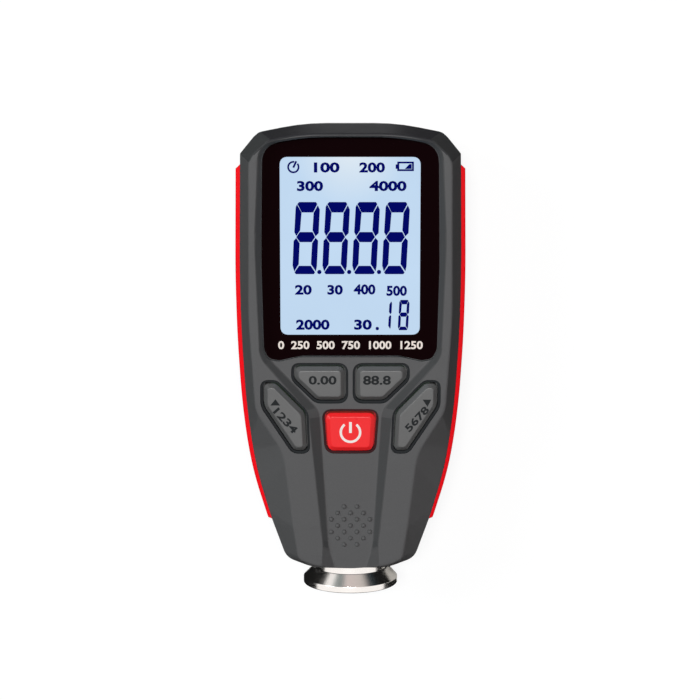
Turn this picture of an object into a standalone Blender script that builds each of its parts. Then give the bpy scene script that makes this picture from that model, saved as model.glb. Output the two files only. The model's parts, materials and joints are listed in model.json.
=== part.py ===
"""A hand-held coating thickness gauge, lying on its back.

+Z is the normal of the front face, +Y runs to the display end and -Y to the probe. The origin is under
the middle of the housing's box, on the surface that the gauge lies on.
"""

import bmesh
import bpy
from math import cos, pi, radians, sin, tan
from mathutils import Matrix, Vector

MM = 0.001
GAP = 0.3 * MM  # between pieces that touch
SLIDE = 0.3 * MM  # around a piece that moves in another
CORNER_STEPS = 3  # straight pieces in each rounded corner of a housing outline
INNER_STEPS = 2  # the same on its inside
KEY_STEPS = 3
ROUND = 24  # sides of a small round piece
PROBE_ROUND = 36

# Overall
LENGTH = 105.0 * MM  # display end to probe tip
HALF_WIDTH = 24.5 * MM  # of the housing, without the grips
TOP_Y = LENGTH / 2
TIP_Y = -LENGTH / 2
TIP_PROUD = 0.8 * MM
COLLAR_FACE_Y = TIP_Y + TIP_PROUD
COLLAR_RIM = 1.4 * MM
COLLAR_CONE = 2.75 * MM
NECK_SHOWN = 0.25 * MM
RIM_BACK_Y = COLLAR_FACE_Y + COLLAR_RIM
CONE_BACK_Y = RIM_BACK_Y + COLLAR_CONE
HOUSING_END_Y = CONE_BACK_Y + NECK_SHOWN

# Housing walls
WALL = 2.2 * MM
BACK_WALL = 2.4 * MM
SHOULDER_DROP = 7.0 * MM  # under the face; the sides are upright up to here and then lean in
BACK_CHAMFER = 2.2 * MM
BACK_CHAMFER_Z = 2.6 * MM
FACE_BEND_Y = -0.076 * LENGTH  # below here the face curves down towards the probe
FACE_BEND_RADIUS = 850 * MM
PANEL_DEPTH = 1.2 * MM  # the sunk middle panel lies this far under the wings
TONGUE = 0.7 * MM
TONGUE_HEIGHT = 1.3 * MM

# Outlines, as the right half from the display end to the probe end: x, y and corner radius in millimetres.
# L is a hundredth of the length and W a hundredth of the half width, where a corner keeps its share of them.
L = LENGTH / MM / 100
W = HALF_WIDTH / MM / 100
SIDE = HALF_WIDTH / MM
TOP = TOP_Y / MM
END = HOUSING_END_Y / MM
HOUSING = [
    (0, TOP, 0), (42.4 * W, TOP, 106), (SIDE - 4.0, TOP - 2.0, 1.5), (SIDE - 0.3, TOP - 6.5, 2.0),
    (SIDE, 18.6 * L, 300), (98.6 * W, 5.2 * L, 300), (94.5 * W, -10.0 * L, 300), (86.1 * W, -23.3 * L, 300),
    (72.9 * W, -33.7 * L, 60), (59.0 * W, END + 2.55, 4.0), (33.9 * W, END + 0.2, 12), (0, END, 0),
]
FACE = [
    (0, TOP - 1.8, 0), (41.5 * W, TOP - 1.8, 106), (SIDE - 6.9, TOP - 3.3, 3.0), (SIDE - 2.5, TOP - 7.3, 5.0),
    (SIDE - 2.4, 26.7 * L, 300), (SIDE - 2.3, 9.5 * L, 100), (85.0 * W, -9.4 * L, 3.5), (60.0 * W, -18.7 * L, 5.0),
    (51.4 * W, -34.8 * L, 40), (47.1 * W, END + 3.75, 2.0), (33.9 * W, END + 2.2, 8), (0, END + 1.65, 0),
]
PANEL_EDGE = [
    (0, TOP - 2.45, 0), (39.0 * W, TOP - 2.45, 106), (SIDE - 5.45, TOP - 4.2, 3.3), (SIDE - 3.9, 25.7 * L, 60),
    (81.3 * W, 1.2 * L, 5.0), (37.4 * W, -9.9 * L, 4.0), (25.2 * W, -36.2 * L, 8.0), (32.1 * W, END - 1.3, 0),
    (0, END - 1.3, 0),
]
PANEL_FLOOR = [
    (0, TOP - 2.55, 0), (39.0 * W, TOP - 2.55, 106), (SIDE - 5.55, TOP - 4.3, 3.3), (SIDE - 5.25, 21.0 * L, 150),
    (76.4 * W, 1.8 * L, 4.5), (27.8 * W, -9.6 * L, 4.0), (20.5 * W, -38.1 * L, 4.0), (8.9 * W, END - 1.3, 0),
    (0, END - 1.3, 0),
]
LENS = [
    (0, TOP - 2.85, 0), (38.6 * W, TOP - 2.85, 106), (SIDE - 5.9, TOP - 4.55, 3.2), (SIDE - 5.62, 21.0 * L, 150),
    (74.4 * W, 1.4 * L, 1.8), (63.4 * W, 1.2 * L, 3.0), (42.7 * W, 2.5 * L, 4.0), (0, 2.5 * L, 0),
]

# Display
LENS_THICKNESS = 1.2 * MM
LENS_LEDGE = 1.15 * MM
LENS_GAP = 0.25 * MM
DISPLAY_Y = 0.248 * LENGTH
GLASS_HALF_Y = 0.2 * LENGTH
GLASS_THICKNESS = 2.0 * MM
GLASS_LAP = 0.8 * MM  # behind the window's edge
WINDOW_CORNER = 1.0 * MM
LIGHT_GUIDE_THICKNESS = 2.4 * MM
FRAME_WALL = 1.0 * MM
FRAME_ROOM = 0.4 * MM  # beside the screw bosses
FRAME_CORNER = 1.4 * MM
FRAME_HEIGHT = 3.3 * MM
CONNECTOR_WIDTH = 1.6 * MM

# Board and what it carries
BOARD_THICKNESS = 1.2 * MM
SWITCH_HALF = 3.0 * MM
SWITCH_HEIGHT = 2.6 * MM
SWITCH_FLOOR = 0.8 * MM
PLUNGER_RADIUS = 1.5 * MM
PLUNGER_PROUD = 0.7 * MM
BOARD_ROOM = 0.45 * MM  # beside the screw bosses
BOARD_NIP = 3.0 * MM  # narrower at its probe end
PROCESSOR_SIDE = 5.0 * MM
PROCESSOR_HEIGHT = 1.4 * MM
BUZZER_RADIUS = 2.5 * MM
BUZZER_HEIGHT = 2.0 * MM

# Keys, as outlines on the right half
KEY_TRAVEL = 0.5 * MM
KEY_FLANGE = 0.8 * MM
KEY_FLANGE_THICKNESS = 0.8 * MM
KEY_MOAT = 0.5 * MM  # width of the sunk step around a key, outside its clearance
KEY_MOAT_DEPTH = 0.8 * MM
KEY_PROUD = 0.8 * MM
KEY_CHAMFER = 0.85 * MM
KEY_CHAMFER_DROP = 0.55 * MM
STEM_RADIUS = 1.4 * MM
INNER_KEY = [
    (5.3 * W, -0.1 * L, 1.2), (5.3 * W, -7.2 * L, 1.2), (30.3 * W, -7.2 * L, 1.4), (49.6 * W, -2.7 * L, 1.2),
    (49.6 * W, -0.1 * L, 1.3),
]
OUTER_KEY = [
    (39.6 * W, -18.05 * L, 1.4), (49.6 * W, -18.05 * L, 1.0), (77.0 * W, -8.4 * L, 1.8), (77.0 * W, -3.5 * L, 1.2),
    (67.3 * W, -3.5 * L, 1.0), (41.3 * W, -9.9 * L, 2.2),
]
POWER_KEY = [
    (22.4 * W, -9.8 * L, 1.3), (-22.4 * W, -9.8 * L, 1.3), (-20.1 * W, -18.0 * L, 1.3), (20.1 * W, -18.0 * L, 1.3),
]
INNER_SWITCH = (25.2 * W, -3.7 * L)
OUTER_SWITCH = (57.7 * W, -10.4 * L)
POWER_SWITCH = (0, -13.7 * L)

# Raised dots near the probe
DOT_ROWS = (2, 3, 4, 3, 4, 3, 2)
DOT_PITCH = 1.43 * MM  # between rows, and half the pitch along a row
DOT_MIDDLE_Y = -0.342 * LENGTH
DOT_RADIUS = 0.55 * MM
DOT_HEIGHT = 0.32 * MM
DOT_SUNK = 0.08 * MM  # its widest ring lies this far under the panel

# Side grips
GRIP_TOP_Y = 0.4152 * LENGTH
GRIP_END_Y = -0.3424 * LENGTH
GRIP_UNDER_PARTING = 5.5 * MM
GRIP_UNDER_SHOULDER = 0.6 * MM
GRIP_PROUD = 1.0 * MM
GRIP_DEPTH = 0.5 * MM
GRIP_ROUNDING = 0.45 * MM

# Batteries and their bay
CELL_RADIUS = 5.25 * MM
CELL_LENGTH = 44.5 * MM
CELL_NUB_RADIUS = 1.9 * MM
CELL_NUB_LENGTH = 0.8 * MM
CELL_SPACING = 2 * CELL_RADIUS + 0.7 * MM
CELL_CLEAR = 0.95 * MM  # over the battery door
CELL_SPRING_LENGTH = 4.0 * MM
CELL_SPRING_RADIUS = 0.55 * CELL_RADIUS
CELL_SPRING_TURNS = 3
SPRING_WIRE = 0.6 * MM
CONTACT_THICKNESS = 0.4 * MM
CONTACT_HALF = 0.8 * CELL_RADIUS
BAY_TO_SLEEVE = 4.3 * MM
BAY_WALL = 1.2 * MM
DOOR_THICKNESS = 1.3 * MM
DOOR_SUNK = 0.1 * MM
DOOR_LAP = 1.1 * MM
DOOR_CORNER = 1.2 * MM
DOOR_HINGE_IN = 0.6 * MM  # from its probe end
HOOK_HALF = 2.2 * MM
HOOK_NECK = 1.0 * MM
HOOK_REACH = 2.0 * MM
HOOK_THICKNESS = 0.7 * MM
LATCH_HALF = 4.0 * MM
LATCH_LENGTH = 6.0 * MM
LATCH_SLOT = 0.7 * MM
FINGER_GROOVES = 3
FINGER_GROOVE_PITCH = 1.6 * MM
FINGER_GROOVE_WIDTH = 0.7 * MM
FINGER_GROOVE_DEPTH = 0.6 * MM
FINGER_GROOVE_IN = 2.0 * MM  # the first one's place, from the door's edge
NOTCH_RADIUS = 9.0 * MM
NOTCH_DEPTH = 0.6 * MM
NOTCH_LENGTH = 1.4 * MM

# Screws
SCREWS = ((0.821 * HALF_WIDTH, 0.381 * LENGTH), (0.528 * HALF_WIDTH, -0.314 * LENGTH))
SCREW_HEAD_RADIUS = 1.9 * MM
SCREW_HEAD_HEIGHT = 1.5 * MM
SCREW_RADIUS = 0.9 * MM
SCREW_LENGTH = 14.0 * MM
SCREW_SUNK = 1.2 * MM
SCREW_CROSS = 0.55 * MM
BOSS_RADIUS = 1.9 * MM
REAR_BOSS_RADIUS = 3.0 * MM

# Probe, turned about the line x = 0, z = PARTING_Z
COLLAR_RADIUS = 10.75 * MM
COLLAR_THROAT = 8.85 * MM  # radius where the cone starts
NECK_RADIUS = 8.0 * MM
COLLAR_FLANGE_RADIUS = 9.4 * MM
COLLAR_FLANGE = 1.3 * MM
COLLAR_BORE = 5.2 * MM
COLLAR_ROUNDING = 0.25 * MM
COLLAR_GROOVE = 1.2 * MM  # depth of the V across the face
MOUTH_WALL = 2.6 * MM
CORE_RADIUS = COLLAR_BORE - SLIDE
CORE_SUNK = 0.9 * MM
CORE_LENGTH = 15.5 * MM
CORE_BORE = 3.6 * MM
CORE_FACE = 1.6 * MM
CORE_STOP_RADIUS = 6.2 * MM
CORE_STOP = 1.5 * MM
PROBE_TRAVEL = 1.5 * MM
PIN_RADIUS = 1.5 * MM
PIN_HEAD = 0.8 * MM  # thickness of its flange behind the coil
COIL_LENGTH = 8.0 * MM
SLEEVE_RADIUS = 7.8 * MM
SLEEVE_LENGTH = 14.2 * MM
SLEEVE_CAP = 1.4 * MM
PROBE_SPRING_WIRE = 0.7 * MM
PROBE_SPRING_TURNS = 4
RIB = 1.2 * MM
RIB_INSET = 1.8 * MM  # from each end of the sleeve
LEAD_RADIUS = 0.8 * MM
SOCKET_HALF = 2.5 * MM
SOCKET_LENGTH = 3.0 * MM
SOCKET_HEIGHT = 2.6 * MM

# Heights, from the back up through the cells, board and display to the face
DOOR_HIGH_Z = DOOR_SUNK + DOOR_THICKNESS
CELL_Z = DOOR_HIGH_Z + CELL_CLEAR + CELL_RADIUS
BAY_ROOF_Z = CELL_Z + CELL_RADIUS + GAP
BOARD_Z = BAY_ROOF_Z + BAY_WALL + GAP
BOARD_TOP_Z = BOARD_Z + BOARD_THICKNESS
ON_BOARD_Z = BOARD_TOP_Z + GAP
GUIDE_HIGH_Z = ON_BOARD_Z + LIGHT_GUIDE_THICKNESS
GLASS_LOW_Z = GUIDE_HIGH_Z + GAP
GLASS_HIGH_Z = GLASS_LOW_Z + GLASS_THICKNESS
CEILING_Z = GLASS_HIGH_Z + GAP
LENS_LOW_Z = CEILING_Z + LENS_LEDGE + GAP
FLOOR_Z = LENS_LOW_Z + LENS_THICKNESS
FACE_Z = FLOOR_Z + PANEL_DEPTH
SHOULDER_Z = FACE_Z - SHOULDER_DROP
PARTING_Z = FACE_Z / 2  # where the two shells meet, and the probe's axis
GRIP_LOW_Z = PARTING_Z - GRIP_UNDER_PARTING
GRIP_HIGH_Z = SHOULDER_Z - GRIP_UNDER_SHOULDER
FLANGE_HIGH_Z = CEILING_Z - GAP
FLANGE_LOW_Z = FLANGE_HIGH_Z - KEY_FLANGE_THICKNESS
SWITCH_HIGH_Z = ON_BOARD_Z + SWITCH_HEIGHT
PLUNGER_HIGH_Z = SWITCH_HIGH_Z + PLUNGER_PROUD

# Places along the length, from the probe's tip up
MOUTH_BACK_Y = HOUSING_END_Y + MOUTH_WALL
FLANGE_FRONT_Y = MOUTH_BACK_Y + GAP
FLANGE_BACK_Y = FLANGE_FRONT_Y + COLLAR_FLANGE
SLEEVE_FRONT_Y = FLANGE_BACK_Y + GAP
SLEEVE_END_Y = SLEEVE_FRONT_Y + SLEEVE_LENGTH
RIB_YS = (SLEEVE_FRONT_Y + RIB_INSET, SLEEVE_END_Y - RIB_INSET)
SLEEVE_BORE = CORE_STOP_RADIUS + SLIDE
CAP_FRONT_Y = SLEEVE_END_Y - SLEEVE_CAP
CORE_FRONT_Y = COLLAR_FACE_Y + CORE_SUNK
CORE_BACK_Y = CORE_FRONT_Y + CORE_LENGTH
STOP_FRONT_Y = SLEEVE_FRONT_Y + RIB
BAY_LENGTH = CELL_LENGTH + CELL_SPRING_LENGTH + 2 * CONTACT_THICKNESS + 5 * GAP
BAY_LOW_Y = SLEEVE_END_Y + BAY_TO_SLEEVE
BAY_HIGH_Y = BAY_LOW_Y + BAY_LENGTH
DOOR_LOW_Y = BAY_LOW_Y - DOOR_LAP
DOOR_HIGH_Y = BAY_HIGH_Y + DOOR_LAP
DOOR_HINGE_Y = DOOR_LOW_Y + DOOR_HINGE_IN
DOOR_HINGE_Z = DOOR_SUNK + 0.4 * DOOR_THICKNESS
SOCKET_HIGH_Y = POWER_SWITCH[1] * MM - SWITCH_HALF - GAP
SOCKET_LOW_Y = SOCKET_HIGH_Y - SOCKET_LENGTH
OUTER_SWITCH_LOW_Y = OUTER_SWITCH[1] * MM - SWITCH_HALF
BOARD_LOW_Y = min(SOCKET_LOW_Y, OUTER_SWITCH_LOW_Y - GAP - PROCESSOR_SIDE) - GAP

# Widths that follow from the cells and from the screw bosses
BAY_HALF = CELL_SPACING / 2 + CELL_RADIUS + GAP
BOARD_HALF_X = SCREWS[0][0] - BOSS_RADIUS - BOARD_ROOM
GLASS_HALF_X = SCREWS[0][0] - BOSS_RADIUS - FRAME_ROOM - FRAME_WALL - GAP


def clear_scene():
    for obj in list(bpy.data.objects):
        bpy.data.objects.remove(obj)


def collection(name, shown=True):
    made = bpy.data.collections.new(name)
    bpy.context.scene.collection.children.link(made)
    made.hide_render = not shown
    return made


def finish_of(name, color, roughness, metallic=0.0):
    made = bpy.data.materials.new(name)
    made.use_nodes = True
    shader = made.node_tree.nodes["Principled BSDF"]
    shader.inputs["Base Color"].default_value = (*color, 1)
    shader.inputs["Roughness"].default_value = roughness
    shader.inputs["Metallic"].default_value = metallic
    made.diffuse_color = (*color, 1)
    return made


def add(name, mesh, finish=None):
    """An object of the gauge where it has a finish, and a cutter where it has none."""
    obj = bpy.data.objects.new(name, mesh)
    if finish is None:
        cutters.objects.link(obj)
        obj.hide_render = True
        obj.display_type = "WIRE"
    else:
        parts.objects.link(obj)
        mesh.materials.clear()
        mesh.materials.append(finish)
    return obj


def smooth(obj, angle=35):
    obj.data.shade_smooth()
    obj.data.set_sharp_from_angle(angle=radians(angle))
    return obj


def boolean(obj, other, operation):
    modifier = obj.modifiers.new(operation.lower(), "BOOLEAN")
    modifier.operation = operation
    modifier.solver = "EXACT"
    modifier.object = other
    return obj


def cut(obj, *others):
    for other in others:
        boolean(obj, other, "DIFFERENCE")
    return obj


def join(obj, *others):
    for other in others:
        boolean(obj, other, "UNION")
    return obj


def round_edges(obj, width, segments=2, angle=40):
    modifier = obj.modifiers.new("rounding", "BEVEL")
    modifier.width = width
    modifier.segments = segments
    modifier.limit_method = "ANGLE"
    modifier.angle_limit = radians(angle)
    return obj


def hang_on(pivot_name, place, *pieces):
    """Parents the pieces of one moving body to an empty on its joint."""
    pivot = bpy.data.objects.new(pivot_name, None)
    pivot.location = place
    pivot.empty_display_size = WALL
    parts.objects.link(pivot)
    for piece in pieces:
        piece.parent = pivot
        piece.matrix_parent_inverse = Matrix.Translation(-Vector(place))


# Outlines

def corner_points(before, here, after, radius, steps):
    if radius <= 0:
        return [here]
    back, ahead = before - here, after - here
    turn = pi - back.angle(ahead)
    reach = min(radius * tan(turn / 2), 0.49 * back.length, 0.49 * ahead.length)
    start, end = here + back.normalized() * reach, here + ahead.normalized() * reach
    shares = [step / steps for step in range(steps + 1)]
    return [start * (1 - t) ** 2 + here * 2 * t * (1 - t) + end * t ** 2 for t in shares]


def rounded(corners, steps=CORNER_STEPS, ring=False):
    """The points of an outline in metres, from corners in millimetres. A half outline keeps its two ends."""
    places = [Vector((x, y)) * MM for x, y, _ in corners]
    points = []
    for i, (place, corner) in enumerate(zip(places, corners)):
        if not ring and i in (0, len(corners) - 1):
            points.append(place)
            continue
        after = places[(i + 1) % len(places)]
        points += corner_points(places[i - 1], place, after, corner[2] * MM, steps)
    return points


def turned_right(edge):
    return Vector((edge.y, -edge.x)).normalized()


def inset(corners, distance, ring=False):
    """The same corners moved in by a distance in metres, or out by a negative one. Outlines run clockwise."""
    moved = distance / MM
    places = [Vector((x, y)) for x, y, _ in corners]
    count = len(corners)
    made = []
    for i, (x, y, radius) in enumerate(corners):
        before = places[i] - places[i - 1] if ring or i else Vector((1, 0))
        after = places[(i + 1) % count] - places[i] if ring or i < count - 1 else Vector((-1, 0))
        first, second = turned_right(before), turned_right(after)
        shift = (first + second) * moved / (1 + first.dot(second))
        bulges = before.x * after.y - before.y * after.x < 0
        turned = max(radius - moved, 0.2) if bulges else radius + moved
        made.append((x + shift.x, y + shift.y, turned if radius else 0))
    return made


def clockwise(corners):
    area = sum(a[0] * b[1] - b[0] * a[1] for a, b in zip(corners, corners[1:] + corners[:1]))
    return corners if area < 0 else corners[::-1]


def mirrored(corners):
    return [(-x, y, radius) for x, y, radius in corners]


def whole(half):
    """Both halves of a half outline as one ring."""
    return half + [Vector((-p.x, p.y)) for p in reversed(half[1:-1])]


def box_corners(half_x, low_y, high_y, radius=0.0):
    x, low, high, r = half_x / MM, low_y / MM, high_y / MM, radius / MM
    return clockwise([(x, low, r), (x, high, r), (-x, high, r), (-x, low, r)])


def face_z(y):
    drop = min(y - FACE_BEND_Y, 0) ** 2 / (2 * FACE_BEND_RADIUS)
    return FACE_Z - drop


# Solids

def loft(name, levels, finish=None, flat_ends=False):
    """A closed solid through rings with as many points each. Ends that aren't flat are closed by strips
    from side to side, between the points that mirror each other."""
    mesh = bpy.data.meshes.new(name)
    bm = bmesh.new()
    rings = [[bm.verts.new(point) for point in level] for level in levels]
    count = len(rings[0])
    for low, high in zip(rings, rings[1:]):
        for i in range(count):
            j = (i + 1) % count
            bm.faces.new((low[i], low[j], high[j], high[i]))
    for ring in (rings[0], rings[-1]):
        if flat_ends:
            bm.faces.new(ring)
            continue
        half = count // 2
        bm.faces.new([ring[-1], *ring[:3], ring[-2]])
        for i in range(2, half - 2):
            bm.faces.new((ring[i], ring[i + 1], ring[-i - 1], ring[-i]))
        bm.faces.new(ring[half - 2:half + 3])
    bmesh.ops.remove_doubles(bm, verts=bm.verts, dist=0.0005 * MM)
    bmesh.ops.recalc_face_normals(bm, faces=bm.faces)
    bm.to_mesh(mesh)
    bm.free()
    return add(name, mesh, finish)


def level(half, height):
    """A ring of 3D points, whose height is a number or a function of y."""
    z = height if callable(height) else lambda y: height
    return [(p.x, p.y, z(p.y)) for p in whole(half)]


def plate(name, loops, low, high, finish=None):
    """Flat outlines with thickness: a loop that lies inside another is a hole."""
    curve = bpy.data.curves.new(name, "CURVE")
    curve.dimensions = "2D"
    curve.fill_mode = "BOTH"
    curve.extrude = (high - low) / 2
    for loop in loops:
        spline = curve.splines.new("POLY")
        spline.points.add(len(loop) - 1)
        for point, place in zip(spline.points, loop):
            point.co = (place[0], place[1], 0, 1)
        spline.use_cyclic_u = True
    guide = bpy.data.objects.new(name, curve)
    cutters.objects.link(guide)
    mesh = mesh_of(guide)
    mesh.transform(Matrix.Translation((0, 0, (low + high) / 2)))
    return add(name, mesh, finish)


def mesh_of(guide):
    """The mesh of a curve object, with its caps welded. The curve is removed."""
    graph = bpy.context.evaluated_depsgraph_get()
    mesh = bpy.data.meshes.new_from_object(guide.evaluated_get(graph))
    bpy.data.objects.remove(guide)
    bm = bmesh.new()
    bm.from_mesh(mesh)
    bmesh.ops.remove_doubles(bm, verts=bm.verts, dist=0.001 * MM)
    bmesh.ops.recalc_face_normals(bm, faces=bm.faces)
    bm.to_mesh(mesh)
    bm.free()
    return mesh


def box(name, low, high, finish=None):
    mesh = bpy.data.meshes.new(name)
    bm = bmesh.new()
    bmesh.ops.create_cube(bm, size=1)
    size = Vector(high) - Vector(low)
    bmesh.ops.transform(bm, matrix=Matrix.Diagonal((*size, 1)), verts=bm.verts)
    bmesh.ops.translate(bm, vec=(Vector(high) + Vector(low)) / 2, verts=bm.verts)
    bm.to_mesh(mesh)
    bm.free()
    return add(name, mesh, finish)


def cylinder(name, radius, low, high, finish=None, sides=ROUND):
    """A round bar between two points."""
    low, high = Vector(low), Vector(high)
    mesh = bpy.data.meshes.new(name)
    bm = bmesh.new()
    bmesh.ops.create_cone(
        bm, cap_ends=True, segments=sides, radius1=radius, radius2=radius, depth=(high - low).length
    )
    turn = Vector((0, 0, 1)).rotation_difference(high - low).to_matrix().to_4x4()
    bmesh.ops.transform(bm, matrix=Matrix.Translation((low + high) / 2) @ turn, verts=bm.verts)
    bm.to_mesh(mesh)
    bm.free()
    return add(name, mesh, finish)


def turned(name, profile, finish=None, sides=PROBE_ROUND, closed=False):
    """A piece turned about the probe's axis. The profile is (radius, y), from the probe end along its
    outer side and back along its bore, or from axis to axis."""
    mesh = bpy.data.meshes.new(name)
    ends = [(i, i + 1) for i in range(len(profile) - 1)]
    if closed:
        ends.append((len(profile) - 1, 0))
    mesh.from_pydata([(radius, 0, -y) for radius, y in profile], ends, [])
    obj = add(name, mesh, finish)
    obj.location = (0, 0, PARTING_Z)
    obj.rotation_euler = (pi / 2, 0, 0)
    screw = obj.modifiers.new("turn", "SCREW")
    screw.steps = screw.render_steps = sides
    screw.use_merge_vertices = True
    screw.merge_threshold = 0.00001
    return obj


def coil(name, middle, radius, wire, length, turns, finish):
    """A helical spring along Y, centred on a point, whose wire stays inside its length."""
    steps = 9 * turns
    curve = bpy.data.curves.new(name, "CURVE")
    curve.dimensions = "3D"
    curve.bevel_depth = wire / 2
    curve.bevel_resolution = 1
    curve.use_fill_caps = True
    spline = curve.splines.new("POLY")
    spline.points.add(steps)
    run = length - wire
    for i, point in enumerate(spline.points):
        angle = 2 * pi * turns * i / steps
        y = middle[1] + run * (i / steps - 0.5)
        point.co = (middle[0] + radius * cos(angle), y, middle[2] + radius * sin(angle), 1)
    guide = bpy.data.objects.new(name, curve)
    cutters.objects.link(guide)
    return smooth(add(name, mesh_of(guide), finish))


# Housing

def shell_mass(name, distance, low, high, finish=None):
    """The housing's outer form between two heights, moved in by a distance all round."""
    side = rounded(inset(HOUSING, distance))
    face = rounded(inset(FACE, distance))
    top = [(p.x, p.y, face_z(p.y) - distance) for p in whole(face)]
    if high <= SHOULDER_Z:
        return loft(name, [level(side, low), level(side, high)], finish)
    return loft(name, [level(side, low), level(side, SHOULDER_Z), top], finish)


def probe_mouth(name):
    return turned(name, [
        (0, HOUSING_END_Y - WALL), (NECK_RADIUS + GAP, HOUSING_END_Y - WALL),
        (NECK_RADIUS + GAP, MOUTH_BACK_Y + GAP), (0, MOUTH_BACK_Y + GAP),
    ])


def grip_line(proud, spare=0.0):
    """The stretch of the housing's edge where the side grip lies, moved outwards and made longer."""
    return clipped(rounded(inset(HOUSING, -proud)), GRIP_END_Y - spare, GRIP_TOP_Y + spare)


def clipped(points, low, high):
    """The stretch of an outline between two heights in y, with new ends where it crosses them."""
    made = []
    for start, end in zip(points, points[1:]):
        for y in (high, low):
            if start.y > y >= end.y:
                made.append(start.lerp(end, (start.y - y) / (start.y - end.y)))
        if low < end.y < high:
            made.append(end)
    return made


def on_side(points, side):
    return [(p.x * side, p.y) for p in points]


def grip_channels(shell):
    outline = grip_line(3 * GRIP_PROUD, GAP) + grip_line(-GRIP_DEPTH - GAP, GAP)[::-1]
    for side in (-1, 1):
        low, high = GRIP_LOW_Z - GAP, GRIP_HIGH_Z + GAP
        channel = plate(f"{shell.name}_grip_channel_{side}", [on_side(outline, side)], low, high)
        cut(shell, channel)


def screw_places():
    return [(side * x, y) for x, y in SCREWS for side in (-1, 1)]


def probe_ribs(shell, low, high):
    """Ribs that hold the probe's sleeve, cut to the housing's form and round the sleeve."""
    for i, y in enumerate(RIB_YS):
        rib = box(f"{shell.name}_rib_{i}", (-HALF_WIDTH, y - RIB / 2, low), (HALF_WIDTH, y + RIB / 2, high))
        mass = shell_mass(f"{rib.name}_limit", WALL / 2, WALL / 2, FACE_Z)
        boolean(rib, mass, "INTERSECT")
        join(shell, rib)
    seat_low, seat_high = (0, min(RIB_YS) - RIB, PARTING_Z), (0, max(RIB_YS) + RIB, PARTING_Z)
    cut(shell, cylinder(f"{shell.name}_sleeve_seat", SLEEVE_RADIUS + GAP, seat_low, seat_high))


def front_shell(finish):
    low = PARTING_Z + GAP / 2
    shell = shell_mass("front_shell", 0, low, FACE_Z, finish)
    cavity_side = rounded(inset(HOUSING, WALL), INNER_STEPS)
    cavity_face = rounded(inset(FACE, WALL / 2), INNER_STEPS)
    cavity = loft("front_cavity", [
        level(cavity_side, low - WALL), level(cavity_side, SHOULDER_Z), level(cavity_face, CEILING_Z),
    ])
    cut(shell, cavity)
    probe_ribs(shell, low, FACE_Z)
    rebate_side = rounded(inset(HOUSING, WALL - TONGUE - GAP), INNER_STEPS)
    rebate = loft("front_rebate", [level(rebate_side, low - WALL), level(rebate_side, low + TONGUE_HEIGHT)])
    cut(shell, rebate)
    for i, (x, y) in enumerate(screw_places()):
        boss = cylinder(f"front_boss_{i}", BOSS_RADIUS, (x, y, low), (x, y, CEILING_Z - GAP), sides=16)
        join(shell, boss)
    for i, (x, y) in enumerate(screw_places()):
        low_end, high_end = (x, y, low - WALL), (x, y, SHOULDER_Z)
        cut(shell, cylinder(f"front_screw_hole_{i}", SCREW_RADIUS + GAP, low_end, high_end, sides=12))
    cut(shell, panel_cutter())
    raised_dots(shell)
    cut(shell, lens_recess(), display_window(), probe_mouth("front_mouth"), collar_room("front_collar_room"))
    key_openings(shell)
    grip_channels(shell)
    return shell


def panel_cutter():
    """The sunk middle panel: its floor, its sloping sides and the space above."""
    floor, edge = rounded(PANEL_FLOOR), rounded(PANEL_EDGE)
    above = [e + (e - f) for e, f in zip(edge, floor)]
    return loft("panel_cutter", [
        level(floor, lambda y: face_z(y) - PANEL_DEPTH), level(edge, face_z),
        level(above, lambda y: face_z(y) + PANEL_DEPTH),
    ])


def lens_recess():
    outline = whole(rounded(inset(LENS, -LENS_GAP)))
    return plate("lens_recess", [outline], LENS_LOW_Z - GAP, FACE_Z + WALL)


def display_window():
    half_x, half_y = GLASS_HALF_X - GLASS_LAP, GLASS_HALF_Y - GLASS_LAP
    corners = box_corners(half_x, DISPLAY_Y - half_y, DISPLAY_Y + half_y, WINDOW_CORNER)
    outline = rounded(corners, ring=True)
    return plate("display_window", [outline], CEILING_Z - WALL, FACE_Z)


def collar_room(name):
    """Space behind the mouth's wall for the collar's flange and the front of the sleeve."""
    return cylinder(
        name, COLLAR_FLANGE_RADIUS + GAP, (0, MOUTH_BACK_Y, PARTING_Z), (0, min(RIB_YS) - RIB, PARTING_Z),
        sides=PROBE_ROUND,
    )


def raised_dots(shell):
    mesh = bpy.data.meshes.new("raised_dots")
    bm = bmesh.new()
    flatten = Matrix.Diagonal((1, 1, (DOT_HEIGHT + DOT_SUNK) / DOT_RADIUS, 1))
    for row, count in enumerate(DOT_ROWS):
        y = DOT_MIDDLE_Y + ((len(DOT_ROWS) - 1) / 2 - row) * DOT_PITCH
        for place in range(count):
            x = (2 * place - (count - 1)) * DOT_PITCH
            spot = Matrix.Translation((x, y, face_z(y) - PANEL_DEPTH - DOT_SUNK)) @ flatten
            bmesh.ops.create_uvsphere(bm, u_segments=6, v_segments=4, radius=DOT_RADIUS, matrix=spot)
    bm.to_mesh(mesh)
    bm.free()
    join(shell, add("raised_dots", mesh))


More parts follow.
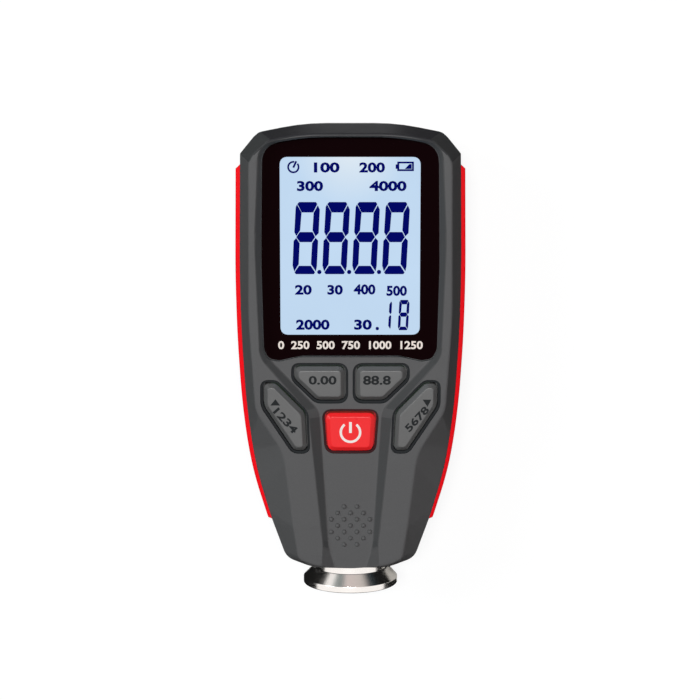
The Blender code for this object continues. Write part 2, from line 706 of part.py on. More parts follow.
def rear_shell(finish):
    high = PARTING_Z - GAP / 2
    side = rounded(HOUSING)
    back = rounded(inset(HOUSING, BACK_CHAMFER))
    knuckle = rounded(inset(HOUSING, BACK_CHAMFER / 4))
    shell = loft("rear_shell", [
        level(back, 0), level(knuckle, BACK_CHAMFER_Z), level(side, 2 * BACK_CHAMFER_Z), level(side, high),
    ], finish)
    cavity_side = rounded(inset(HOUSING, WALL), INNER_STEPS)
    cavity_back = rounded(inset(HOUSING, WALL + BACK_CHAMFER / 2), INNER_STEPS)
    cavity = loft("rear_cavity", [
        level(cavity_back, BACK_WALL), level(cavity_side, 2 * BACK_CHAMFER_Z), level(cavity_side, high + WALL),
    ])
    cut(shell, cavity)
    loops = [whole(rounded(inset(HOUSING, by), INNER_STEPS)) for by in (WALL - TONGUE, WALL)]
    tongue = plate("rear_tongue", loops, high - TONGUE_HEIGHT, high + TONGUE_HEIGHT)
    join(shell, tongue)
    for i, (x, y) in enumerate(screw_places()):
        boss = cylinder(f"rear_boss_{i}", REAR_BOSS_RADIUS, (x, y, BACK_WALL / 2), (x, y, high), sides=16)
        boolean(boss, shell_mass(f"rear_boss_{i}_limit", WALL / 2, BACK_WALL / 4, SHOULDER_Z), "INTERSECT")
        join(shell, boss)
    bay = box(
        "bay", (-BAY_HALF - BAY_WALL, BAY_LOW_Y - BAY_WALL, BACK_WALL / 2),
        (BAY_HALF + BAY_WALL, BAY_HIGH_Y + BAY_WALL, BAY_ROOF_Z + BAY_WALL),
    )
    join(shell, bay)
    probe_ribs(shell, BACK_WALL / 2, high)
    cut(shell, box("bay_room", (-BAY_HALF, BAY_LOW_Y, -WALL), (BAY_HALF, BAY_HIGH_Y, BAY_ROOF_Z)))
    door_lap = box_corners(BAY_HALF + DOOR_LAP + GAP, DOOR_LOW_Y - GAP, DOOR_HIGH_Y + GAP, DOOR_CORNER + GAP)
    cut(shell, plate("door_recess", [rounded(door_lap, ring=True)], -WALL, DOOR_HIGH_Z + GAP))
    cut(shell, box(
        "hook_notch", (-HOOK_HALF - GAP, BAY_LOW_Y - 2 * BAY_WALL, BACK_WALL),
        (HOOK_HALF + GAP, BAY_LOW_Y + GAP, BACK_WALL + 2 * HOOK_THICKNESS + GAP),
    ))
    notch_z = NOTCH_DEPTH - NOTCH_RADIUS
    cut(shell, cylinder("finger_notch", NOTCH_RADIUS, (0, DOOR_HIGH_Y + NOTCH_LENGTH, notch_z),
                        (0, DOOR_HIGH_Y - GAP, notch_z)))
    for i, (x, y) in enumerate(screw_places()):
        seat = SCREW_SUNK + SCREW_HEAD_HEIGHT + GAP
        hole = cylinder(f"rear_screw_hole_{i}", SCREW_RADIUS + GAP, (x, y, 0), (x, y, high + WALL), sides=12)
        pocket = cylinder(f"head_pocket_{i}", SCREW_HEAD_RADIUS + GAP, (x, y, -WALL), (x, y, seat), sides=20)
        cut(shell, hole, pocket)
    cut(shell, probe_mouth("rear_mouth"), collar_room("rear_collar_room"))
    grip_channels(shell)
    return shell


def side_grips(finish):
    """Their outer corners are cut off at both ends, down to the housing's surface."""
    surface = grip_line(0)
    outline = [surface[0], *grip_line(GRIP_PROUD, -GRIP_PROUD), surface[-1], *grip_line(-GRIP_DEPTH)[::-1]]
    for side, name in ((-1, "side_grip_left"), (1, "side_grip_right")):
        round_edges(plate(name, [on_side(outline, side)], GRIP_LOW_Z, GRIP_HIGH_Z, finish), GRIP_ROUNDING)


def screws(finish):
    names = ("left_top", "right_top", "left_low", "right_low")
    head_z = SCREW_SUNK
    for name, (x, y) in zip(names, screw_places()):
        neck_z = head_z + SCREW_HEAD_HEIGHT
        mesh = bpy.data.meshes.new(name)
        profile = [
            (0, head_z + SCREW_LENGTH), (0.4 * SCREW_RADIUS, head_z + SCREW_LENGTH),
            (SCREW_RADIUS, head_z + SCREW_LENGTH - 2 * SCREW_RADIUS), (SCREW_RADIUS, neck_z),
            (SCREW_HEAD_RADIUS, neck_z), (SCREW_HEAD_RADIUS, head_z + 0.25 * SCREW_HEAD_HEIGHT),
            (0.75 * SCREW_HEAD_RADIUS, head_z), (0, head_z),
        ]
        mesh.from_pydata([(r, 0, z) for r, z in profile], [(i, i + 1) for i in range(len(profile) - 1)], [])
        screw = add(f"housing_screw_{name}", mesh, finish)
        screw.location = (x, y, 0)
        turn = screw.modifiers.new("turn", "SCREW")
        turn.steps = turn.render_steps = 14
        turn.use_merge_vertices = True
        turn.merge_threshold = 0.00001
        arm, deep = 0.7 * SCREW_HEAD_RADIUS, head_z + 0.6 * SCREW_HEAD_HEIGHT
        for along in (0, 1):
            reach = (arm, SCREW_CROSS / 2) if along else (SCREW_CROSS / 2, arm)
            cut(screw, box(
                f"{screw.name}_slot_{along}", (x - reach[0], y - reach[1], -WALL), (x + reach[0], y + reach[1], deep)
            ))
        smooth(screw)


# Display

def display(lens_finish, glass_finish, guide_finish, frame_finish, strip_finish):
    plate("display_lens", [whole(rounded(LENS))], LENS_LOW_Z, FLOOR_Z, lens_finish)
    half_x = GLASS_HALF_X
    low_y, high_y = DISPLAY_Y - GLASS_HALF_Y, DISPLAY_Y + GLASS_HALF_Y
    box("lcd_panel", (-half_x, low_y, GLASS_LOW_Z), (half_x, high_y, GLASS_HIGH_Z), glass_finish)
    guide_low = low_y + CONNECTOR_WIDTH + GAP
    box("light_guide", (-half_x, guide_low, ON_BOARD_Z), (half_x, high_y, GUIDE_HIGH_Z), guide_finish)
    strip_reach = half_x - FRAME_CORNER
    box("display_connector", (-strip_reach, low_y, ON_BOARD_Z),
        (strip_reach, low_y + CONNECTOR_WIDTH, GUIDE_HIGH_Z), strip_finish)
    grown, nip = FRAME_WALL + GAP, FRAME_CORNER
    x, low, high = half_x + grown, low_y - grown, high_y + grown
    outline = [(-x, low), (-x, high - nip), (-x + nip, high), (x - nip, high), (x, high - nip), (x, low)]
    frame = plate("display_frame", [outline], ON_BOARD_Z, ON_BOARD_Z + FRAME_HEIGHT, frame_finish)
    cut(frame, box("display_room", (-half_x - GAP, low_y - GAP, BOARD_Z), (half_x + GAP, high_y + GAP, FACE_Z)))


# Board, switches and keys

def board(finish, chip_finish, buzzer_finish):
    top_y = DISPLAY_Y + GLASS_HALF_Y
    outline = [
        (BOARD_HALF_X, top_y), (BOARD_HALF_X, OUTER_SWITCH_LOW_Y), (BOARD_HALF_X - BOARD_NIP, BOARD_LOW_Y),
        (-BOARD_HALF_X + BOARD_NIP, BOARD_LOW_Y), (-BOARD_HALF_X, OUTER_SWITCH_LOW_Y), (-BOARD_HALF_X, top_y),
    ]
    plate("main_board", [outline], BOARD_Z, BOARD_TOP_Z, finish)
    parts_x, parts_y = 0.8 * OUTER_SWITCH[0] * MM, OUTER_SWITCH_LOW_Y - GAP - PROCESSOR_SIDE / 2
    half = PROCESSOR_SIDE / 2
    box("processor", (-parts_x - half, parts_y - half, ON_BOARD_Z),
        (-parts_x + half, parts_y + half, ON_BOARD_Z + PROCESSOR_HEIGHT), chip_finish)
    cylinder("buzzer", BUZZER_RADIUS, (parts_x, parts_y, ON_BOARD_Z),
             (parts_x, parts_y, ON_BOARD_Z + BUZZER_HEIGHT), buzzer_finish)


def keys_of():
    """Name, outline, switch place, top and height of the housing around it, for each key."""
    inner, outer = clockwise(INNER_KEY), clockwise(OUTER_KEY)
    panel_top, wing_top = FLOOR_Z + KEY_PROUD, FACE_Z + KEY_PROUD
    return [
        ("zero", clockwise(mirrored(inner)), (-INNER_SWITCH[0], INNER_SWITCH[1]), panel_top, FLOOR_Z),
        ("read", inner, INNER_SWITCH, panel_top, FLOOR_Z),
        ("mode", clockwise(mirrored(outer)), (-OUTER_SWITCH[0], OUTER_SWITCH[1]), wing_top, FACE_Z),
        ("units", outer, OUTER_SWITCH, wing_top, FACE_Z),
        ("power", clockwise(POWER_KEY), POWER_SWITCH, panel_top, FLOOR_Z),
    ]


def key_openings(shell):
    for name, corners, _, _, around in keys_of():
        hole = rounded(inset(corners, -SLIDE, ring=True), KEY_STEPS, ring=True)
        moat = rounded(inset(corners, -SLIDE - KEY_MOAT, ring=True), KEY_STEPS, ring=True)
        cut(shell, plate(f"{name}_key_moat", [moat], around - KEY_MOAT_DEPTH, FACE_Z + WALL))
        cut(shell, plate(f"{name}_key_hole", [hole], CEILING_Z - WALL, FACE_Z + WALL))


def keys(cap_finish, power_finish, switch_finish, plunger_finish):
    for name, corners, place, high, _ in keys_of():
        x, y = place[0] * MM, place[1] * MM
        flange = rounded(inset(corners, -KEY_FLANGE, ring=True), KEY_STEPS, ring=True)
        cap = rounded(corners, KEY_STEPS, ring=True)
        top = rounded(inset(corners, KEY_CHAMFER, ring=True), KEY_STEPS, ring=True)
        levels = [
            (flange, FLANGE_LOW_Z), (flange, FLANGE_HIGH_Z), (cap, FLANGE_HIGH_Z), (cap, high - KEY_CHAMFER_DROP),
            (top, high),
        ]
        rings = [[(p.x, p.y, z) for p in points] for points, z in levels]
        key = loft(f"{name}_key", rings, power_finish if name == "power" else cap_finish, flat_ends=True)
        stem_low = PLUNGER_HIGH_Z + GAP
        join(key, cylinder(f"{name}_key_stem", STEM_RADIUS, (x, y, stem_low), (x, y, FLANGE_HIGH_Z), sides=16))
        half = SWITCH_HALF
        switch = box(f"{name}_switch", (x - half, y - half, ON_BOARD_Z), (x + half, y + half, SWITCH_HIGH_Z),
                     switch_finish)
        floor = ON_BOARD_Z + SWITCH_FLOOR
        cut(switch, cylinder(f"{name}_switch_bore", PLUNGER_RADIUS + SLIDE, (x, y, floor), (x, y, FACE_Z), sides=16))
        plunger = cylinder(f"{name}_plunger", PLUNGER_RADIUS, (x, y, floor + KEY_TRAVEL + GAP),
                           (x, y, PLUNGER_HIGH_Z), plunger_finish, sides=16)
        hang_on(f"{name}_key_slide", (x, y, high), key, plunger)


# Batteries

def cells(finish):
    for side, name in ((-1, "battery_left"), (1, "battery_right")):
        x = side * CELL_SPACING / 2
        near = BAY_LOW_Y + 2 * GAP + CONTACT_THICKNESS
        if side < 0:
            near += CELL_SPRING_LENGTH + GAP
        low, high = near, near + CELL_LENGTH
        body = (low, high - CELL_NUB_LENGTH) if side < 0 else (low + CELL_NUB_LENGTH, high)
        cell = cylinder(name, CELL_RADIUS, (x, body[0], CELL_Z), (x, body[1], CELL_Z), finish)
        join(cell, cylinder(f"{name}_nub", CELL_NUB_RADIUS, (x, low + (side < 0) * CELL_LENGTH / 2, CELL_Z),
                            (x, high - (side > 0) * CELL_LENGTH / 2, CELL_Z), sides=16))
        smooth(cell)


def contacts(finish):
    low_y, high_y = BAY_LOW_Y + GAP, BAY_HIGH_Y - GAP - CONTACT_THICKNESS
    bottom, top = CELL_Z - 0.75 * CONTACT_HALF, CELL_Z + CONTACT_HALF
    span = CELL_SPACING / 2 + CONTACT_HALF
    box("contact_bridge", (-span, low_y, bottom), (span, low_y + CONTACT_THICKNESS, top), finish)
    for side, name in ((-1, "contact_positive"), (1, "contact_negative")):
        x = side * CELL_SPACING / 2
        box(name, (x - CONTACT_HALF, high_y, bottom), (x + CONTACT_HALF, high_y + CONTACT_THICKNESS, top), finish)
    reach = CONTACT_THICKNESS + 2 * GAP + CELL_SPRING_LENGTH / 2
    for x, y, name in ((-1, BAY_LOW_Y + reach, "contact_spring_left"), (1, BAY_HIGH_Y - reach, "contact_spring_right")):
        middle = (x * CELL_SPACING / 2, y, CELL_Z)
        coil(name, middle, CELL_SPRING_RADIUS, SPRING_WIRE, CELL_SPRING_LENGTH, CELL_SPRING_TURNS, finish)


def battery_door(finish):
    """The door turns about its probe end, where a hook holds it under the back wall."""
    half_x = BAY_HALF + DOOR_LAP
    outline = rounded(box_corners(half_x, DOOR_LOW_Y, DOOR_HIGH_Y, DOOR_CORNER), ring=True)
    door = plate("battery_door", [outline], DOOR_SUNK, DOOR_HIGH_Z, finish)
    hook_low = BACK_WALL + GAP
    hook_high = hook_low + HOOK_THICKNESS
    neck_y = BAY_LOW_Y + GAP
    join(door, box("hook_neck", (-HOOK_HALF, neck_y, DOOR_HIGH_Z / 2), (HOOK_HALF, neck_y + HOOK_NECK, hook_high)))
    join(door, box("hook", (-HOOK_HALF, neck_y + HOOK_NECK - HOOK_REACH, hook_low),
                   (HOOK_HALF, neck_y + HOOK_NECK / 2, hook_high)))
    for side in (-1, 1):
        x = side * LATCH_HALF
        cut(door, box(f"latch_slot_{side}", (x - LATCH_SLOT / 2, DOOR_HIGH_Y - LATCH_LENGTH, -WALL),
                      (x + LATCH_SLOT / 2, DOOR_HIGH_Y + WALL, WALL)))
    for i in range(FINGER_GROOVES):
        y, reach = DOOR_HIGH_Y - FINGER_GROOVE_IN - i * FINGER_GROOVE_PITCH, LATCH_HALF - 1.5 * LATCH_SLOT
        cut(door, box(f"finger_groove_{i}", (-reach, y - FINGER_GROOVE_WIDTH / 2, -WALL),
                      (reach, y + FINGER_GROOVE_WIDTH / 2, DOOR_SUNK + FINGER_GROOVE_DEPTH)))
    hang_on("battery_door_hinge", (0, DOOR_HINGE_Y, DOOR_HINGE_Z), door)


# Probe

def probe(collar_finish, sleeve_finish, core_finish, pin_finish, coil_finish, spring_finish):
    rounding = COLLAR_ROUNDING
    collar = turned("probe_collar", [
        (COLLAR_BORE, COLLAR_FACE_Y), (COLLAR_RADIUS - rounding, COLLAR_FACE_Y),
        (COLLAR_RADIUS, COLLAR_FACE_Y + rounding), (COLLAR_RADIUS, RIM_BACK_Y - rounding),
        (COLLAR_RADIUS - rounding, RIM_BACK_Y), (COLLAR_THROAT, CONE_BACK_Y), (NECK_RADIUS, CONE_BACK_Y),
        (NECK_RADIUS, FLANGE_FRONT_Y), (COLLAR_FLANGE_RADIUS, FLANGE_FRONT_Y),
        (COLLAR_FLANGE_RADIUS, FLANGE_BACK_Y), (COLLAR_BORE, FLANGE_BACK_Y),
    ], collar_finish, closed=True)
    groove = box("collar_groove", (-COLLAR_RADIUS * 2, -COLLAR_GROOVE, -COLLAR_GROOVE),
                 (COLLAR_RADIUS * 2, COLLAR_GROOVE, COLLAR_GROOVE))
    groove.location = (0, COLLAR_FACE_Y - 0.4 * COLLAR_GROOVE, PARTING_Z)
    groove.rotation_euler = (pi / 4, 0, 0)
    smooth(cut(collar, groove))

    turned("probe_sleeve", [
        (CORE_RADIUS + SLIDE, SLEEVE_FRONT_Y), (SLEEVE_RADIUS, SLEEVE_FRONT_Y), (SLEEVE_RADIUS, CAP_FRONT_Y - GAP),
        (SLEEVE_BORE, CAP_FRONT_Y - GAP), (SLEEVE_BORE, STOP_FRONT_Y), (CORE_RADIUS + SLIDE, STOP_FRONT_Y),
    ], sleeve_finish, closed=True)
    cap = turned("probe_sleeve_cap", [
        (0, CAP_FRONT_Y), (SLEEVE_RADIUS, CAP_FRONT_Y), (SLEEVE_RADIUS, SLEEVE_END_Y), (0, SLEEVE_END_Y),
    ], sleeve_finish)
    smooth(cap)

    stop_low = STOP_FRONT_Y + GAP
    bore_front = CORE_FRONT_Y + CORE_FACE
    core = turned("probe_core", [
        (PIN_RADIUS + GAP, CORE_FRONT_Y), (CORE_RADIUS, CORE_FRONT_Y), (CORE_RADIUS, stop_low),
        (CORE_STOP_RADIUS, stop_low), (CORE_STOP_RADIUS, stop_low + CORE_STOP), (CORE_RADIUS, stop_low + CORE_STOP),
        (CORE_RADIUS, CORE_BACK_Y), (CORE_BORE, CORE_BACK_Y), (CORE_BORE, bore_front),
        (PIN_RADIUS + GAP, bore_front),
    ], core_finish, closed=True)
    smooth(core)

    pin_back = bore_front + COIL_LENGTH
    pin = turned("probe_pin", [
        (0, TIP_Y), (0.6 * PIN_RADIUS, TIP_Y + 0.2 * PIN_RADIUS), (PIN_RADIUS, TIP_Y + PIN_RADIUS),
        (PIN_RADIUS, pin_back + GAP), (CORE_BORE - GAP, pin_back + GAP),
        (CORE_BORE - GAP, pin_back + GAP + PIN_HEAD), (0, pin_back + GAP + PIN_HEAD),
    ], pin_finish, sides=ROUND)
    smooth(pin)
    turned("probe_coil", [
        (PIN_RADIUS + GAP, bore_front + GAP), (CORE_BORE - GAP, bore_front + GAP), (CORE_BORE - GAP, pin_back),
        (PIN_RADIUS + GAP, pin_back),
    ], coil_finish, sides=ROUND, closed=True)

    spring_low = stop_low + CORE_STOP + GAP
    spring_high = CAP_FRONT_Y - GAP
    spring_radius = SLEEVE_BORE - SLIDE - PROBE_SPRING_WIRE / 2
    spring = coil("probe_spring", (0, (spring_low + spring_high) / 2, PARTING_Z), spring_radius,
                  PROBE_SPRING_WIRE, spring_high - spring_low, PROBE_SPRING_TURNS, spring_finish)
    hang_on("probe_slide", (0, CORE_FRONT_Y, PARTING_Z), core, pin, bpy.data.objects["probe_coil"], spring)


def probe_lead(finish, socket_finish):
    """A short lead from the sleeve's cap to its socket at the board's end."""
    z = ON_BOARD_Z + SOCKET_HEIGHT / 2
    box("probe_socket", (-SOCKET_HALF, SOCKET_LOW_Y, ON_BOARD_Z),
        (SOCKET_HALF, SOCKET_HIGH_Y, ON_BOARD_Z + SOCKET_HEIGHT), socket_finish)
    cylinder("probe_lead", LEAD_RADIUS, (0, SLEEVE_END_Y + GAP, z), (0, SOCKET_LOW_Y - GAP, z), finish, sides=12)


clear_scene()
parts = collection("coating_thickness_gauge")
cutters = collection("cutters", shown=False)

dark_plastic = finish_of("dark_plastic", (0.105, 0.104, 0.106), 0.55)
red_rubber = finish_of("red_rubber", (0.85, 0.01, 0.015), 0.5)
key_plastic = finish_of("key_plastic", (0.15, 0.15, 0.15), 0.5)
red_plastic = finish_of("red_plastic", (0.9, 0.025, 0.03), 0.4)
lens_plastic = finish_of("lens_plastic", (0.006, 0.003, 0.003), 0.1)
lcd_glass = finish_of("lcd_glass", (0.55, 0.7, 0.88), 0.3)
clear_plastic = finish_of("clear_plastic", (0.8, 0.85, 0.9), 0.3)
black_plastic = finish_of("black_plastic", (0.02, 0.02, 0.02), 0.5)
board_green = finish_of("board_green", (0.02, 0.15, 0.05), 0.5)
polished_steel = finish_of("polished_steel", (0.75, 0.74, 0.72), 0.12, 1)
spring_steel = finish_of("spring_steel", (0.6, 0.6, 0.6), 0.3, 1)
copper_wire = finish_of("copper_wire", (0.7, 0.3, 0.12), 0.35, 1)
cell_jacket = finish_of("cell_jacket", (0.12, 0.16, 0.2), 0.35)
strip_rubber = finish_of("strip_rubber", (0.3, 0.3, 0.3), 0.7)
lead_jacket = finish_of("lead_jacket", (0.03, 0.03, 0.03), 0.6)

front_shell(dark_plastic)
rear_shell(dark_plastic)
side_grips(red_rubber)
screws(spring_steel)
display(lens_plastic, lcd_glass, clear_plastic, black_plastic, strip_rubber)
board(board_green, black_plastic, black_plastic)
keys(key_plastic, red_plastic, black_plastic, spring_steel)
cells(cell_jacket)
contacts(spring_steel)
battery_door(dark_plastic)
probe(polished_steel, black_plastic, black_plastic, polished_steel, copper_wire, spring_steel)
probe_lead(lead_jacket, black_plastic)
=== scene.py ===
"""The looks of the coating thickness gauge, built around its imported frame, and its camera and light."""

import json
from math import cos, pi, radians, sin, tan

import bmesh
import bpy
from mathutils import Matrix, Vector

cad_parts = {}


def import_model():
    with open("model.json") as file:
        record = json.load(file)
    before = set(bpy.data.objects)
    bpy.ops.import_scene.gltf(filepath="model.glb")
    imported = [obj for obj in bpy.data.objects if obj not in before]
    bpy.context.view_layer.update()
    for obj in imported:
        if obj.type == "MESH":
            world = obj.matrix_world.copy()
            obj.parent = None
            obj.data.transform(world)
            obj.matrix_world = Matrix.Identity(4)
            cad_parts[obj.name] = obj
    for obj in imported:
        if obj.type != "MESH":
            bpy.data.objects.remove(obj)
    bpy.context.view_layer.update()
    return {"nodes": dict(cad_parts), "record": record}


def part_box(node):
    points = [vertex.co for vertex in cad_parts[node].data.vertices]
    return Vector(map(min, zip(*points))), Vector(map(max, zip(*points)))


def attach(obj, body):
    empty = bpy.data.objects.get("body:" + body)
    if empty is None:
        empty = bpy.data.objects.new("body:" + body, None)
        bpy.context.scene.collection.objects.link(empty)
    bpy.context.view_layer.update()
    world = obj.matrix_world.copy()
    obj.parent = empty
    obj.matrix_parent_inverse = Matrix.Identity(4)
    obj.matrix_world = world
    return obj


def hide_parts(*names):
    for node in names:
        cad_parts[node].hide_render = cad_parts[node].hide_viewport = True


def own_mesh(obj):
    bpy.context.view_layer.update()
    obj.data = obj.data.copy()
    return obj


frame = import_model()

MM = 0.001
GAP = 0.3 * MM
CORNER = 10  # straight pieces in each rounded corner of an outline
FILLET = 5  # the same in each softened edge

# The frame's own sizes in metres
FACE_Z = 25.0 * MM
PANEL_DEPTH = 1.2 * MM
FLOOR_Z = 23.8 * MM  # the face of the sunk panel
CEILING_Z = 21.15 * MM
SHOULDER_Z = 18.0 * MM
PARTING_Z = 12.5 * MM
WALL = 2.2 * MM
EDGE = 0.15 * MM
REBATE = 1.1 * MM
TONGUE_HEIGHT = 1.3 * MM
FACE_BEND_Y = -8.0 * MM
FACE_BEND_RADIUS = 850 * MM
LENS_LOW_Z = 22.6 * MM
LENS_GAP = 0.1 * MM
LCD_HIGH_Z = 20.85 * MM
KEY_RISE = 0.8 * MM
KEY_LOW_Z = 20.05 * MM
STEM_LOW_Z = 19.75 * MM
STEM_RADIUS = 1.4 * MM
BOSS_RADIUS = 1.9 * MM
SCREW_RADIUS = 1.2 * MM
SCREWS = ((20.2 * MM, 40.0 * MM), (13.0 * MM, -33.0 * MM))
DOT_RADIUS = 0.55 * MM
DOT_HEIGHT = 0.5 * MM
DOT_PITCH = 1.43 * MM  # half the distance between two dots of a row
DOT_ROWS = (2, 3, 4, 3, 4, 3, 2)
DOTS_Y = -36.1 * MM

# The frame's own sizes in millimetres
TOP = 52.5
END = -47.3
SIDE = 24.5
GRIP_LOW_Y, GRIP_HIGH_Y = -35.95, 43.6
GRIP_LOW_Z, GRIP_HIGH_Z = 7.0, 17.4
GRIP_GAP = 0.3
DISPLAY_OPENING = (15.8, 5.84, 46.24, 1.0)  # half its width, its low and high end, its corners' radius

# The print, in millimetres
PRINT_WINDOW = (15.27, 6.6, 45.4, 1.8)
PRINT = 0.02  # half the thickness of printed signs
LCD_LEFT = 0.14  # how far left of the middle the display's signs lie
LOW_KEY_PRINT_Z, HIGH_KEY_PRINT_Z = 24.6, 25.8

# Outlines: (x, y, corner radius) in millimetres. The first five are right halves, from top to bottom.
HOUSING = [
    (0, TOP, 0), (10.4, TOP, 106), (SIDE - 4.0, TOP - 2.0, 4.0), (SIDE - 0.3, TOP - 6.5, 0.6), (SIDE, 19.5, 300),
    (24.16, 5.5, 300), (23.15, -10.5, 300), (21.1, -24.5, 300), (17.86, -35.4, 60), (14.46, END + 2.55, 4.0),
    (8.3, END + 0.2, 12), (0, END, 0),
]
FACE = [
    (0, TOP - 2.0, 0), (10.2, TOP - 2.0, 106), (SIDE - 6.9, TOP - 3.4, 3.0), (SIDE - 2.5, TOP - 7.3, 5.0),
    (SIDE - 2.4, 28.0, 300), (SIDE - 2.3, 10.0, 100), (20.85, -9.9, 6.0), (14.7, -19.6, 12.0), (12.6, -36.5, 40),
    (11.54, END + 3.75, 2.0), (8.3, END + 2.2, 8), (0, END + 1.65, 0),
]
PANEL_EDGE = [
    (0, TOP - 2.7, 0), (9.6, TOP - 2.7, 106), (SIDE - 4.75, TOP - 4.3, 4.2), (SIDE - 3.75, 27.0, 60),
    (19.9, 1.9, 6.0), (9.2, -10.4, 4.0), (6.05, -40.0, 12.0), (6.6, END - 1.3, 0), (0, END - 1.3, 0),
]
PANEL_FLOOR = [
    (0, TOP - 2.8, 0), (9.6, TOP - 2.8, 106), (SIDE - 5.35, TOP - 4.5, 4.7), (SIDE - 5.05, 22.0, 150),
    (18.5, 2.2, 5.0), (6.85, -10.1, 4.0), (4.95, -41.0, 10.0), (2.6, END - 1.3, 0), (0, END - 1.3, 0),
]
LENS = [
    (0, TOP - 2.88, 0), (9.5, TOP - 2.88, 106), (SIDE - 5.35, TOP - 4.6, 4.8), (SIDE - 5.05, 22.0, 150),
    (19.0, 3.3, 3.0), (17.9, 1.25, 2.0), (15.6, 0.9, 3.0), (10.5, 2.0, 4.0), (0, 2.0, 0),
]
INNER_KEY = [(1.3, -0.3, 1.6), (1.3, -7.7, 1.6), (7.35, -7.7, 2.2), (12.2, -3.0, 2.0), (12.2, -0.3, 1.8)]
OUTER_KEY = [
    (9.6, -18.75, 2.2), (12.4, -18.75, 1.8), (18.95, -8.8, 3.5), (18.95, -3.9, 2.0), (16.4, -3.9, 1.8),
    (10.0, -10.4, 3.2),
]
POWER_KEY = [(5.5, -10.55, 1.5), (-5.5, -10.55, 1.5), (-4.95, -19.0, 1.7), (4.95, -19.0, 1.7)]


# Outlines

def corner_points(before, here, after, radius, steps):
    if radius <= 0:
        return [here]
    back, ahead = before - here, after - here
    if back.length < 1e-9 or ahead.length < 1e-9:
        return [here] * (steps + 1)
    turn = pi - back.angle(ahead)
    reach = min(radius * tan(turn / 2), 0.49 * back.length, 0.49 * ahead.length)
    start, end = here + back.normalized() * reach, here + ahead.normalized() * reach
    shares = [step / steps for step in range(steps + 1)]
    return [start * (1 - t) ** 2 + here * 2 * t * (1 - t) + end * t ** 2 for t in shares]


def rounded(corners, ring=False, steps=CORNER):
    """The points of an outline in metres, from corners in millimetres. A half outline keeps its two ends."""
    places = [Vector((x, y)) * MM for x, y, _ in corners]
    points = []
    for i, (place, corner) in enumerate(zip(places, corners)):
        if not ring and i in (0, len(corners) - 1):
            points.append(place)
            continue
        after = places[(i + 1) % len(places)]
        points += corner_points(places[i - 1], place, after, corner[2] * MM, steps)
    return points


def turned_right(edge):
    return Vector((edge.y, -edge.x)).normalized()


def inset(corners, distance, ring=False):
    """The same corners moved in by a distance in metres, or out by a negative one. Outlines run clockwise."""
    moved = distance / MM
    places = [Vector((x, y)) for x, y, _ in corners]
    count = len(corners)
    made = []
    for i, (x, y, radius) in enumerate(corners):
        before = places[i] - places[i - 1] if ring or i else Vector((1, 0))
        after = places[(i + 1) % count] - places[i] if ring or i < count - 1 else Vector((-1, 0))
        first, second = turned_right(before), turned_right(after)
        shift = (first + second) * moved / (1 + first.dot(second))
        bulges = before.x * after.y - before.y * after.x < 0
        turned = max(radius - moved, 0.2) if bulges else radius + moved
        made.append((x + shift.x, y + shift.y, turned if radius else 0))
    return made


def clockwise(corners):
    area = sum(a[0] * b[1] - b[0] * a[1] for a, b in zip(corners, corners[1:] + corners[:1]))
    return corners if area < 0 else corners[::-1]


def mirrored(corners):
    return [(-x, y, radius) for x, y, radius in corners]


def whole(half):
    return half + [Vector((-p.x, p.y)) for p in reversed(half[1:-1])]


def box_corners(half_x, low_y, high_y, radius):
    return clockwise([
        (half_x, low_y, radius), (half_x, high_y, radius), (-half_x, high_y, radius), (-half_x, low_y, radius),
    ])


def face_z(y):
    return FACE_Z - min(y - FACE_BEND_Y, 0) ** 2 / (2 * FACE_BEND_RADIUS)


def softened(path, radii):
    """A path in space with its corners rounded. Each path with as many corners gets as many points."""
    made = []
    for i, (place, radius) in enumerate(zip(path, radii)):
        if radius:
            made += corner_points(path[i - 1], place, path[i + 1], radius * MM, FILLET)
        else:
            made.append(place)
    return made


# Solids

def placed(name, data):
    obj = bpy.data.objects.new(name, data)
    bpy.context.scene.collection.objects.link(obj)
    return obj


def add(name, mesh, body=None, material=None):
    """A piece that rides a body. Without a body it's a tool or belongs to the stage."""
    obj = placed(name, mesh)
    if material and not mesh.materials:
        mesh.materials.append(material)
    if body:
        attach(obj, body)
        obj.visible_glossy = False
    return obj


def mesh_from(bm, name):
    bmesh.ops.remove_doubles(bm, verts=bm.verts, dist=0.0005 * MM)
    bmesh.ops.recalc_face_normals(bm, faces=bm.faces)
    mesh = bpy.data.meshes.new(name)
    bm.to_mesh(mesh)
    bm.free()
    return mesh


def rings_mesh(name, rings, strips=False):
    """A closed mesh through rings with as many points each. Strips close it from side to side, between the
    points that mirror each other, so that the ends may curve along y."""
    bm = bmesh.new()
    made = [[bm.verts.new(point) for point in ring] for ring in rings]
    count = len(made[0])
    for low, high in zip(made, made[1:]):
        for i in range(count):
            j = (i + 1) % count
            bm.faces.new((low[i], low[j], high[j], high[i]))
    for ring in (made[0], made[-1]):
        if not strips:
            bm.faces.new(ring)
            continue
        half = count // 2
        bm.faces.new([ring[-1], *ring[:3], ring[-2]])
        for i in range(2, half - 2):
            bm.faces.new((ring[i], ring[i + 1], ring[-i - 1], ring[-i]))
        bm.faces.new(ring[half - 2:half + 3])
    return mesh_from(bm, name)


def mirrored_rings(columns):
    """Rings from the right half's upright columns of points."""
    rings = []
    for level in zip(*columns):
        rings.append([Vector(p) for p in level] + [Vector((-p.x, p.y, p.z)) for p in reversed(level[1:-1])])
    return rings


def level(half, height):
    z = height if callable(height) else lambda y: height
    return [Vector((p.x, p.y, z(p.y))) for p in whole(half)]


